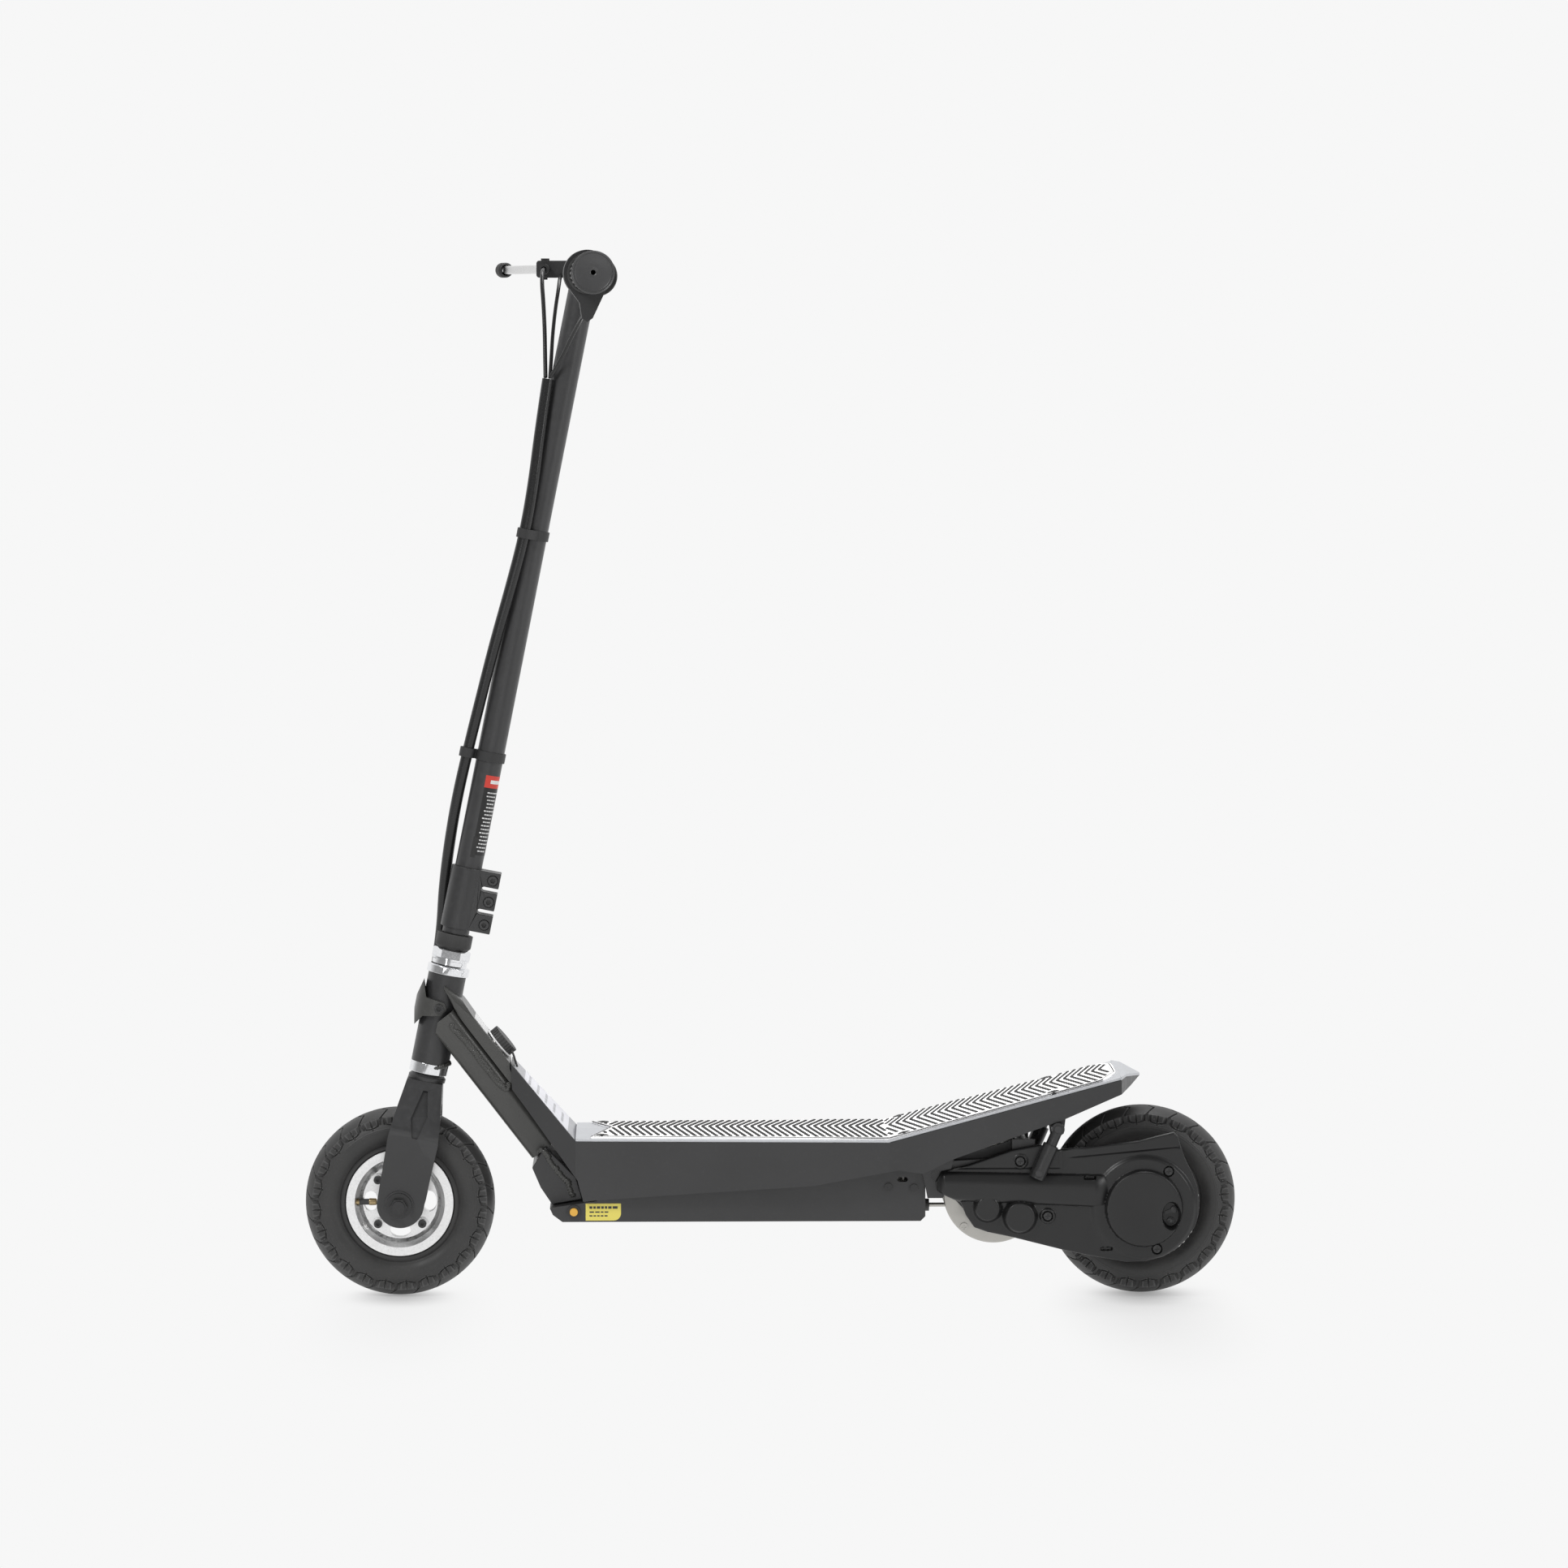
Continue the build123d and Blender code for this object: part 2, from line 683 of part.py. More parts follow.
def lever_pin():
    """Headed pin through the perch and the lever's eye."""
    forward, out = LEVER_PIVOT
    foot = Plane(origin=FAR_BAR.from_local_coords(Vector(forward, PERCH_UP - 11, out)), z_dir=(0, 0, 1))
    with BuildPart() as pin:
        add(collar(foot, 2.5, 0, 20))
        add(collar(foot, 4.5, 20.1, 22.5))
        add(collar(foot, 2.5, 19.9, 20.2))
    return pin.part


# ---------------------------------------------------------------- cables
def cord_radii(points):
    """Largest tangent arcs for a route: 0.45 of the shorter run at each corner."""
    radii = []
    for before, here, after in zip(points, points[1:], points[2:]):
        run_in = Vector(*here) - Vector(*before)
        run_out = Vector(*after) - Vector(*here)
        half_turn = radians(run_in.get_angle(run_out)) / 2
        radii.append(0.45 * min(run_in.length, run_out.length) / tan(half_turn))
    return radii


def make_cord(name, points, radius, bore=0.0):
    """Round cord or sleeve along straight runs joined by tangent arcs."""
    radii = cord_radii(points)
    with BuildPart() as cord:
        with BuildLine():
            way = FilletPolyline(*points, radius=radii)
        with BuildSketch(Plane(origin=way @ 0, z_dir=way % 0)):
            Circle(radius)
            if bore:
                Circle(bore, mode=Mode.SUBTRACT)
        sweep()
    section = pi * (radius**2 - bore**2)
    ratio = cord.part.volume / (section * way.length)
    print(f"{name}: length {way.length:.0f}, tightest radius {min(radii):.0f}, volume ratio {ratio:.3f}")
    return cord


# ---------------------------------------------------------------- cable and loom routes
def at_stem(across, side, up):
    """Point given across, beside and along the steering axis."""
    return tuple(STEER.from_local_coords(Vector(across, side, up)))


LOOM_TOP = at_stem(-17, -13, 881)
LOOM_SPLIT = at_stem(-16, 21, 294)
STEM_LOOM = [
    LOOM_TOP,
    at_stem(-14.5, -16, 826),
    at_stem(-10.5, -18.8, 770),
    at_stem(-9.5, -19.4, 716),
    at_stem(-13, -17.6, 660),
    at_stem(-18, -13, 600),
    at_stem(-21, -9, 545),
    at_stem(-24, -4, 488),
    at_stem(-26, 2, 430),
    at_stem(-24.5, 9.5, 375),
    at_stem(-21, 15.5, 330),
    LOOM_SPLIT,
]
FRAME_LOOM = [
    at_stem(-15.7, 21.4, 291.8),
    at_stem(-14, 26.5, 262),
    at_stem(-12, 31, 229),
    (-357, 35.2, 304.5),
    (-349.3, 37.1, 277.2),
    (-331, 37.5, 253.4),
    (-308.5, 37.8, 224.4),
    (-284, 39.5, 192.3),
    (-264.5, 43.8, 166.5),
    (-247.5, 48.2, 142.5),
    (-233, 49.8, 119.5),
    (-224, 50.3, 98),
]
BRAKE_CABLE = [
    tuple(FAR_BAR.from_local_coords(Vector(ADJUSTER_AHEAD, PERCH_UP, 36))),
    tuple(FAR_BAR.from_local_coords(Vector(ADJUSTER_AHEAD, PERCH_UP, 14))),
    (-240.5, 37, 1069),
    (-238.5, 23, 1046),
    (-237, 9, 1018),
    (-236.5, -3, 992),
    (LOOM_TOP[0] - 2.4, LOOM_TOP[1] - 0.5, LOOM_TOP[2] + 1.6),
]
SWITCH_WIRE = [
    tuple(FAR_BAR.from_local_coords(Vector(29, -1, 43.9))),
    (-221.5, 66, 1075),
    (-223, 48, 1062),
    (-226.5, 33, 1038),
    (-229, 18, 1012),
    (-230, 4, 990),
    (LOOM_TOP[0] + 2.2, LOOM_TOP[1] + 3.3, LOOM_TOP[2] + 1.1),
]
THROTTLE_WIRE = [
    tuple(NEAR_BAR.from_local_coords(Vector(-3, -43, 37.5))),
    (-196.2, -57.5, 1033),
    (-200.2, -42.5, 1026),
    (-209, -31.5, 1010),
    (-219.5, -22.5, 987),
    (LOOM_TOP[0] + 2.6, LOOM_TOP[1] - 2.4, LOOM_TOP[2] + 1.5),
]
BRAKE_REAR_CABLE = [
    (150, 74, 157),
    (186, 73.5, 150),
    (222, 71, 138),
    (258, 69, 129),
    (292, 67.5, 124),
    (324, 66.5, 122),
]


def make_loom_clips():
    """Two clips on the stem: a band around both tubes, and a band with an arm and a ring."""
    with BuildPart() as clips:
        upper, lower = 718, 480
        with BuildSketch(STEER.offset(upper - 5)):
            with BuildLine():
                near = CenterArc((0, 0), STEM_R + 1.8, -75, 200)
                loom = CenterArc((-9.5, -19.4), LOOM_R + 2.3, 170, 150)
                Line(near @ 1, loom @ 0)
                Line(loom @ 1, near @ 0)
            make_face()
            Circle(STEM_R + FIT, mode=Mode.SUBTRACT)
            with Locations((-9.6, -19.3)):
                Circle(LOOM_R + 0.8, mode=Mode.SUBTRACT)
        extrude(amount=10)
        with BuildSketch(STEER.offset(lower - 5)):
            Circle(STEM_R + 1.8)
            with Locations((-24.5, -3.3)):
                Circle(LOOM_R + 2.2)
            with Locations((-17, -2)):
                Rectangle(8, 5)
            Circle(STEM_R + FIT, mode=Mode.SUBTRACT)
            with Locations((-24.5, -3.3)):
                Circle(LOOM_R + 0.9, mode=Mode.SUBTRACT)
        extrude(amount=10)
    return clips


def make_guide_bracket():
    """Wing-shaped guard that wraps the front of the head tube, with its bolt eye."""
    with BuildPart() as wing:
        with BuildSketch(STEER.offset(186)):
            with Locations((-3.5, 0)):
                Circle(24)
            Circle(HEAD_R + FIT, mode=Mode.SUBTRACT)
            with Locations((0, 26)):
                Rectangle(80, 40, mode=Mode.SUBTRACT)
        extrude(amount=52)
        with BuildSketch(STEER_SIDE.offset(-30)):
            with BuildLine():
                Polyline(
                    (-23, 236), (-17, 219), (3, 217), (7, 210), (2, 203), (-17, 199), (-24, 188), (-29, 212),
                    close=True,
                )
            make_face()
            fillet(vertices().sort_by(Axis.Y)[2:6], radius=2)
        extrude(amount=80, mode=Mode.INTERSECT)
        with BuildSketch(STEER_SIDE.offset(10)):
            with Locations((-1.4, 210)):
                Circle(3 + FIT)
        extrude(amount=30, mode=Mode.SUBTRACT)
    return wing


def guide_bolt():
    with BuildPart() as bolt:
        with BuildSketch(STEER_SIDE.offset(20.5)):
            with Locations((-1.4, 210)):
                Circle(3)
        extrude(amount=4)
        with BuildSketch(STEER_SIDE.offset(24.4)):
            with Locations((-1.4, 210)):
                Circle(5)
                RegularPolygon(radius=2.6, side_count=6, mode=Mode.SUBTRACT)
        extrude(amount=3.2)
    return bolt.part


# ---------------------------------------------------------------- frame
def head_core(radius):
    """Solid rod on the steering axis, to trim tubes against."""
    return collar(STEER, radius, 60, 330)


def make_head_tube():
    with BuildPart() as tube:
        add(collar(STEER, HEAD_R, HEAD_LOW, HEAD_HIGH, 15.5))
    return tube


def make_down_tube():
    """Rounded box tube from the head tube down to the casting under the deck's front."""
    across = (sin(TUBE_SLOPE) * TUBE_DEPTH / 2, cos(TUBE_SLOPE) * TUBE_DEPTH / 2)
    middle = Plane(
        origin=(TUBE_FOOT[0] + across[0], 0, TUBE_FOOT[1] + across[1]),
        x_dir=(0, 1, 0),
        z_dir=(-cos(TUBE_SLOPE), 0, sin(TUBE_SLOPE)),
    )
    with BuildPart() as tube:
        with BuildSketch(middle.offset(2)):
            RectangleRounded(2 * TUBE_HALF, TUBE_DEPTH, 9)
            RectangleRounded(2 * TUBE_HALF - 5, TUBE_DEPTH - 5, 6.5, mode=Mode.SUBTRACT)
        extrude(amount=175)
        add(head_core(HEAD_R + FIT), mode=Mode.SUBTRACT)
        with BuildSketch(STEER_SIDE.offset(-60)):
            with Locations((-40, 200)):
                Rectangle(80, 400)
        extrude(amount=120, mode=Mode.SUBTRACT)
    return tube


def make_upper_neck():
    """Short upper tube between the head tube and the deck shell, open inside for the leads."""
    foot = (TUBE_FOOT[0] + sin(TUBE_SLOPE) * TUBE_DEPTH, TUBE_FOOT[1] + cos(TUBE_SLOPE) * TUBE_DEPTH)

    def along(distance, lift):
        return (
            foot[0] - cos(TUBE_SLOPE) * distance + sin(TUBE_SLOPE) * lift,
            foot[1] + sin(TUBE_SLOPE) * distance + cos(TUBE_SLOPE) * lift,
        )

    outline = [
        along(60, 0.1),
        along(180, 0.1),
        (-350, 336),
        (-325, 315),
        (-310, 293),
        (NECK_X - 1.3, NECK_Z + 0.5),
        (NECK_X - 1.3, NECK_Z - 6),
    ]
    hollow = [along(57, 0.1), along(184, 0.1), (-352, 330), (-328, 312), (-313, 290), (NECK_X + 1, NECK_Z - 5)]
    with BuildPart() as neck:
        add(slab_y(outline, -TUBE_HALF + 0.2, TUBE_HALF - 0.2))
        fillet(neck.edges().filter_by(Axis.Y, reverse=True).sort_by(Axis.Z)[-4:], radius=8)
        add(slab_y(hollow, -TUBE_HALF + 3, TUBE_HALF - 3), mode=Mode.SUBTRACT)
        add(head_core(HEAD_R + FIT), mode=Mode.SUBTRACT)
        with BuildSketch(STEER_SIDE.offset(-60)):
            with Locations((-40, 200)):
                Rectangle(80, 400)
        extrude(amount=120, mode=Mode.SUBTRACT)
        add(collar(PORT, 14.05, -30, 10), mode=Mode.SUBTRACT)
    return neck


PORT = Plane(
    origin=(-287.6, 0, 265.9),
    x_dir=(0, 1, 0),
    z_dir=(sin(radians(50.4)), 0, cos(radians(50.4))),
)


def plan(inset):
    """Deck's outline seen from above, drawn in by an inset."""
    ahead = 30 * min(inset, 1) + 1
    with BuildPart() as block:
        with BuildSketch(Plane.XY):
            with BuildLine():
                Polyline(
                    (NECK_X - ahead, -NECK_HALF + inset),
                    (NECK_X, -NECK_HALF + inset),
                    (FOLD_X, -FOLD_HALF + inset),
                    (KINK_X, -KINK_HALF + inset),
                    (TAIL_X - inset, -TAIL_HALF + inset),
                    (TAIL_TIP_X - 3 * inset, -3),
                    (TAIL_TIP_X - 3 * inset, 3),
                    (TAIL_X - inset, TAIL_HALF - inset),
                    (KINK_X, KINK_HALF - inset),
                    (FOLD_X, FOLD_HALF - inset),
                    (NECK_X, NECK_HALF - inset),
                    (NECK_X - ahead, NECK_HALF - inset),
                    close=True,
                )
            make_face()
        extrude(amount=320)
    return block.part


def make_deck_frame():
    """Folded shell: sloped neck, flat deck with side panels, rising tail and pivot lugs."""
    outline = [
        (NECK_X, NECK_Z),
        (FOLD_X, DECK_Z),
        (KINK_X, DECK_Z),
        (TAIL_BEND_X, tail_z(TAIL_BEND_X)),
        (TAIL_TIP_X, TAIL_TIP_Z),
        (378, 225),
        (306, 194),
        (189, 153),
        (157, 138),
        (132, 142),
        (41, 125),
        (-77, 117),
        (-198, 108),
        (-204, 130),
        (-256, 200),
        (-273, 222),
    ]
    hollow = [
        (NECK_X - 30, NECK_Z + 29),
        (FOLD_X + 1.6, DECK_Z - SHEET),
        (KINK_X, DECK_Z - SHEET),
        (TAIL_X, tail_z(TAIL_X) - SHEET),
        (TAIL_X, 190),
        (TAIL_X - 30, 100),
        (-300, 50),
    ]
    with BuildPart() as cavity:
        add(slab_y(hollow, -90, 90))
        add(plan(SHEET), mode=Mode.INTERSECT)
    with BuildPart() as frame:
        add(slab_y(outline, -90, 90))
        add(plan(0), mode=Mode.INTERSECT)
        add(cavity.part, mode=Mode.SUBTRACT)
        lug = [(148, tail_z(148) - 2), (200, tail_z(200) - 2), (184, 126), (179, 110), (163, 110), (160, 126)]
        for near in (-65.5, 60.5):
            add(slab_y(lug, near, near + 5))
            add(bar_y(PIVOT_X, PIVOT_Z, 13, near, near + 5))
        add(bar_y(PIVOT_X, PIVOT_Z, 6 + FIT, -70, 70), mode=Mode.SUBTRACT)
        x, z = SHOCK_TOP
        bracket = [(x - 12, tail_z(x - 12) - 2), (x + 12, tail_z(x + 12) - 2), (x + 7, z - 7), (x - 7, z - 7)]
        for side in (-1, 1):
            ends = sorted((side * 57, side * 62))
            add(slab_y(bracket, ends[0], ends[1]))
            ends = sorted((side * 60, side * (SHOCK_Y + 5)))
            add(bar_y(x, z, 4, ends[0], ends[1]))
    return frame


def make_foot_casting():
    """Cast corner that closes the foot of the down tube and carries the tray's front."""
    outline = [(-252, 140), (-243, 119), (-231, 101), (-199, 106.5), (-206, 130), (-238, 162)]
    hollow = [(-246, 137), (-226, 105.5), (-202, 110), (-210, 130), (-236, 158)]
    with BuildPart() as casting:
        add(slab_y(outline, -42, 42))
        fillet(casting.edges().filter_by(Axis.Y, reverse=True), radius=1.2)
        add(slab_y(hollow, -39, 39), mode=Mode.SUBTRACT)
        add(tube_envelope(), mode=Mode.SUBTRACT)
    return casting


def tube_envelope():
    """Space taken by the down tube, to trim its neighbours."""
    across = (sin(TUBE_SLOPE) * TUBE_DEPTH / 2, cos(TUBE_SLOPE) * TUBE_DEPTH / 2)
    middle = Plane(
        origin=(TUBE_FOOT[0] + across[0], 0, TUBE_FOOT[1] + across[1]),
        x_dir=(0, 1, 0),
        z_dir=(-cos(TUBE_SLOPE), 0, sin(TUBE_SLOPE)),
    )
    with BuildPart() as envelope:
        with BuildSketch(middle.offset(1.9)):
            RectangleRounded(2 * TUBE_HALF + 0.1, TUBE_DEPTH + 0.1, 9)
        extrude(amount=180)
    return envelope.part


def make_tray():
    """Open box under the deck that holds the batteries, with a raised front corner."""
    outer = [
        (-233, 99),
        (-230, 92.5),
        (-220, TRAY_LOW),
        (TRAY_REAR - 5, TRAY_LOW),
        (TRAY_REAR, TRAY_LOW + 5),
        (TRAY_REAR, 146),
        (-184, 146),
        (-184, 107),
        (-198, 105),
        (-233, 100),
    ]
    inner = [
        (-230, 98),
        (-227, 93.5),
        (-218, 87),
        (TRAY_REAR - 6, 87),
        (TRAY_REAR - 2, 91),
        (TRAY_REAR - 2, 160),
        (-182, 160),
        (-182, 105),
        (-200, 103),
    ]
    loom_way = Plane(origin=FRAME_LOOM[-1], z_dir=Vector(*FRAME_LOOM[-2]) - Vector(*FRAME_LOOM[-1]))
    with BuildPart() as tray:
        add(slab_y(outer, -TRAY_HALF + 0.4, TRAY_HALF - 0.4))
        add(slab_y(inner, -TRAY_HALF + 2.4, TRAY_HALF - 2.4), mode=Mode.SUBTRACT)
        with BuildSketch(Plane.XZ.offset(-70)):
            with Locations(*TRAY_BOLTS):
                Circle(2.6)
            with Locations((137, 129)):
                SlotOverall(11, 5)
        extrude(amount=140, mode=Mode.SUBTRACT)
        add(bar_y(RESET[0], RESET[1], 5.4, -70, -50), mode=Mode.SUBTRACT)
        add(collar(loom_way, LOOM_R + FIT, -1, 12), mode=Mode.SUBTRACT)
        with BuildSketch(Plane.YZ.offset(TRAY_REAR - 8)):
            with Locations((-30, 98)):
                Circle(4)
        extrude(amount=20, mode=Mode.SUBTRACT)
    return tray


def make_reset_switch():
    """Resettable breaker: bezel, threaded neck and body behind the tray's wall."""
    x, z = RESET
    with BuildPart() as switch:
        add(bar_y(x, z, 7, -62, -59.7, 4.3))
        add(bar_y(x, z, 5.3, -59.75, -52, 4.3))
        add(slab_y([(x - 5, z - 5), (x + 5, z - 5), (x + 5, z + 4), (x - 5, z + 4)], -52.05, -34))
    return switch


def make_reset_button():
    with BuildPart() as button:
        add(bar_y(RESET[0], RESET[1], 4.3 - FIT, -65, -55.5))
        fillet(button.edges().sort_by(Axis.Y)[0], radius=1)
    return button


def make_batteries():
    """Two sealed batteries lying end to end, each with two terminals."""
    with BuildPart() as batteries:
        for low in (-180, -28):
            with BuildSketch(Plane.XY.offset(87.5)):
                with Locations((low + 75.5, 0)):
                    RectangleRounded(150, 94, 2)
            extrude(amount=64)
            with BuildSketch(Plane.XY.offset(151.5)):
                with Locations((low + 12, -35), (low + 12, 35)):
                    Rectangle(8, 6)
            extrude(amount=6)
    return batteries


def make_controller():
    """Finned motor controller behind the batteries."""
    with BuildPart() as controller:
        with BuildSketch(Plane.XY.offset(87.5)):
            with Locations((138.5, 8)):
                Rectangle(30, 84)
        extrude(amount=36)
        with BuildSketch(Plane.XY.offset(123.5)):
            with Locations((138.5, 8)):
                with GridLocations(6, 0, 5, 1):
                    Rectangle(2, 84)
        extrude(amount=6)
    return controller


def make_frame_bolts():
    """Bolts that hold the tray to the frame, and the one in the guide bracket."""
    with BuildPart() as screws:
        add(guide_bolt())
        for side in (-1, 1):
            for x, z in TRAY_BOLTS:
                ends = sorted((side * 59.7, side * 61.7))
                add(bar_y(x, z, 4.2, ends[0], ends[1]))
                ends = sorted((side * 50, side * 59.8))
                add(bar_y(x, z, 2.5, ends[0], ends[1]))
    return screws


def make_grommet():
    with BuildPart() as grommet:
        with BuildSketch(Plane.YZ.offset(TRAY_REAR)):
            with Locations((-30, 98)):
                Circle(6.5)
        extrude(amount=5)
        with BuildSketch(Plane.YZ.offset(TRAY_REAR - 4)):
            with Locations((-30, 98)):
                Circle(3.9)
        extrude(amount=4.1)
    return grommet


def ridged_sheet(bottom, thickness, start_x, length, angle):
    """Sheet that follows the deck's low middle ridge, laid level or up the tail."""
    section = Plane(origin=(start_x, 0, DECK_Z + 0.1), x_dir=(0, 1, 0), z_dir=(cos(angle), 0, sin(angle)))
    top = bottom + thickness
    under_ridge = bottom + CROWN if bottom else bottom - 0.01
    with BuildPart() as sheet:
        with BuildSketch(section):
            with BuildLine():
                Polyline(
                    (-RIDGE_HALF, top),
                    (0, top + CROWN),
                    (RIDGE_HALF, top),
                    (RIDGE_HALF, bottom),
                    (0, under_ridge),
                    (-RIDGE_HALF, bottom),
                    close=True,
                )
            make_face()
        extrude(amount=length)
    return sheet.part


def make_deck_plate():
    """Pale metal cover on the deck with a low ridge along its middle."""
    below_deck = [
        (-300, 0),
        (TAIL_TIP_X + 1, 0),
        (TAIL_TIP_X + 1, TAIL_TIP_Z - 0.5),
        (TAIL_BEND_X, tail_z(TAIL_BEND_X)),
        (KINK_X, DECK_Z),
        (-300, DECK_Z),
    ]
    with BuildPart() as plate:
        add(ridged_sheet(0, PLATE, FOLD_X, KINK_X - FOLD_X + 0.5, 0))
        add(ridged_sheet(0, PLATE, KINK_X - 1, 300, TAIL_ANGLE))
        add(plan(1.0), mode=Mode.INTERSECT)
        with BuildSketch(Plane.XY.offset(60)):
            with Locations((TAIL_X + 50, 0)):
                Rectangle(100, 200)
        extrude(amount=300, mode=Mode.SUBTRACT)
        add(tail_cap())
        add(slab_y(below_deck, -99, 99), mode=Mode.SUBTRACT)
        add(screw_holes(2.2, -12, 12), mode=Mode.SUBTRACT)
    return plate


def tail_cap():
    """Pale bevelled end of the tail."""
    front_x = TAIL_X - 1
    side = [
        (front_x, tail_z(front_x) + 0.1),
        (TAIL_BEND_X, tail_z(TAIL_BEND_X) + 0.1),
        (TAIL_TIP_X, TAIL_TIP_Z + 0.1),
        (TAIL_TIP_X, TAIL_TIP_Z + 2.6),
        (TAIL_BEND_X + 1, tail_z(TAIL_BEND_X) + 2.8),
        (front_x, tail_z(front_x) + 3.6),
    ]
    with BuildPart() as cap:
        add(slab_y(side, -90, 90))
        add(plan(0), mode=Mode.INTERSECT)
    return cap.part


def half_width(x):
    """Half the deck's width at a place along it."""
    if x < KINK_X:
        return FOLD_HALF + (KINK_HALF - FOLD_HALF) * (x - FOLD_X) / (KINK_X - FOLD_X)
    return KINK_HALF + (TAIL_HALF - KINK_HALF) * (x - KINK_X) / (TAIL_X - KINK_X)


def screw_planes():
    """Planes on the deck's surface at each screw, near and far."""
    for x, on_tail in SCREW_PLACES:
        angle = TAIL_ANGLE if on_tail else 0.0
        z = tail_z(x) if on_tail else DECK_Z
        for side in (-1, 1):
            y = side * (half_width(x) - SCREW_INSET)
            yield Plane(origin=(x, y, z), x_dir=(cos(angle), 0, sin(angle)), z_dir=(-sin(angle), 0, cos(angle)))


def screw_holes(radius, low, high):
    with BuildPart() as holes:
        for place in screw_planes():
            add(collar(place, radius, low, high))
    return holes.part


def make_grip_pad():
    """Moulded rubber mat with a pointed front and a tapered tail, holed over the screws."""
    tip = 13.0
    with BuildPart() as outline:
        with BuildSketch(Plane.XY):
            with BuildLine():
                Polyline(
                    (FOLD_X + 16, -FOLD_HALF + 5),
                    (KINK_X, -KINK_HALF + PAD_INSET),
                    (TAIL_X - 14, -TAIL_HALF + PAD_INSET + 2),
                    (TAIL_X - 4, -TAIL_HALF + PAD_INSET + tip + 14),
                    (TAIL_X - 4, TAIL_HALF - PAD_INSET - tip - 14),
                    (TAIL_X - 14, TAIL_HALF - PAD_INSET - 2),
                    (KINK_X, KINK_HALF - PAD_INSET),
                    (FOLD_X + 16, FOLD_HALF - 5),
                    (FOLD_X + 16 + tip * 1.6, 0),
                    close=True,
                )
            make_face()
            fillet(vertices().sort_by(Axis.X)[-4:], radius=4)
        extrude(amount=320)
    with BuildPart() as pad:
        add(ridged_sheet(PLATE, PAD, FOLD_X, KINK_X - FOLD_X + 0.4, 0))
        add(ridged_sheet(PLATE, PAD, KINK_X - 1, 300, TAIL_ANGLE))
        add(outline.part, mode=Mode.INTERSECT)
        add(make_deck_plate().part, mode=Mode.SUBTRACT)
        add(screw_holes(6.5, -12, 12), mode=Mode.SUBTRACT)
    return pad


def make_deck_screws():
    """Countersunk screws sunk through the mat's holes into the deck plate."""
    with BuildPart() as screws:
        for place in screw_planes():
            rise = PLATE + 0.8 + CROWN * (RIDGE_HALF - abs(place.origin.Y)) / RIDGE_HALF
            with BuildSketch(place.offset(rise)):
                Circle(4.6)
                RegularPolygon(radius=2.4, side_count=6, mode=Mode.SUBTRACT)
            extrude(amount=2)
            add(collar(place, 2.1, 0.2, rise))
    return screws


# ---------------------------------------------------------------- charging port
def make_charge_socket():
    """Silver collar of the charging inlet, with its insulator and three pins."""
    with BuildPart() as socket:
        add(collar(PORT, 14, -8, 0.6, 11))
        add(collar(PORT, 17.5, 0.6, 2, 11))
        add(collar(PORT, 11.05, -8, -5))
        with BuildSketch(PORT.offset(-5.1)):
            with PolarLocations(5, 3):
                Circle(1)
        extrude(amount=4)
    return socket


def make_charge_cap():
    """Ribbed rubber cap over the charging inlet."""
    with BuildPart() as cap:
        with BuildSketch(PORT.offset(2.1)):
            Circle(15.8)
            with PolarLocations(15.8, 30):
                Rectangle(1.2, 1.6)
        extrude(amount=8.5)
        add(collar(PORT, 10.8, -0.5, 2.2, 8.5))
    return cap


# ---------------------------------------------------------------- swingarm and drive
def make_swingarm():
    """Two side arms, the pivot tube, a cross tube and the motor's mounting plate."""
    arm = [
        (PIVOT_X - 5, PIVOT_Z - 9),
        (PIVOT_X - 9, PIVOT_Z),
        (PIVOT_X - 5, PIVOT_Z + 9),
        (PIVOT_X + 12, PIVOT_Z + 14),
        (268, 153),
        (290, 148),
        (396, 118),
        (408, 108),
        (408, 92),
        (396, 84),
        (330, 82),
        (262, 96),
        (214, 112),
    ]
    shock_ear = [(252, 140), (276, 140), (276, 171), (252, 171)]
    motor_plate = [(PIVOT_X, 128), (PIVOT_X, 143), (258, 169), (270, 169), (262, 150), (246, 96), (210, 86)]
    with BuildPart() as swingarm:
        for near in (-ARM_OUT, ARM_IN):
            add(slab_y(arm, near, near + ARM_OUT - ARM_IN))
        add(bar_y(PIVOT_X, PIVOT_Z, 10, -ARM_OUT, ARM_OUT))
        add(slab_y(shock_ear, -ARM_OUT, -ARM_IN))
        add(slab_y(shock_ear, ARM_IN, ARM_OUT))
        add(bar_y(264, 164, 6, -ARM_OUT, ARM_OUT))
        add(slab_y(motor_plate, -40, -35))
        add(bar_y(MOTOR_X, MOTOR_Z, 9, -42, -33), mode=Mode.SUBTRACT)
        add(bar_y(PIVOT_X, PIVOT_Z, 6 + FIT, -70, 70), mode=Mode.SUBTRACT)
        add(bar_y(REAR_X, AXLE_Z, AXLE_R + FIT, -70, 70), mode=Mode.SUBTRACT)
        add(bar_y(BRAKE_STUD[0], BRAKE_STUD[1], 3 + FIT, 50, 70), mode=Mode.SUBTRACT)
        for side in (-1, 1):
            ends = sorted((side * 57, side * (SHOCK_Y + 7)))
            add(bar_y(SHOCK_LOW[0], SHOCK_LOW[1], 4, ends[0], ends[1]))
    return swingarm


def make_pivot_bolt():
    """Shoulder bolt through both lugs and the swingarm's tube, with its head on the far side."""
    with BuildPart() as bolt:
        add(bar_y(PIVOT_X, PIVOT_Z, 6, -65.5, 66))
        with BuildSketch(Plane.XZ.offset(-65.6)):
            with Locations((PIVOT_X, PIVOT_Z)):
                RegularPolygon(radius=9, side_count=6)
        extrude(amount=-5.5)
    return bolt


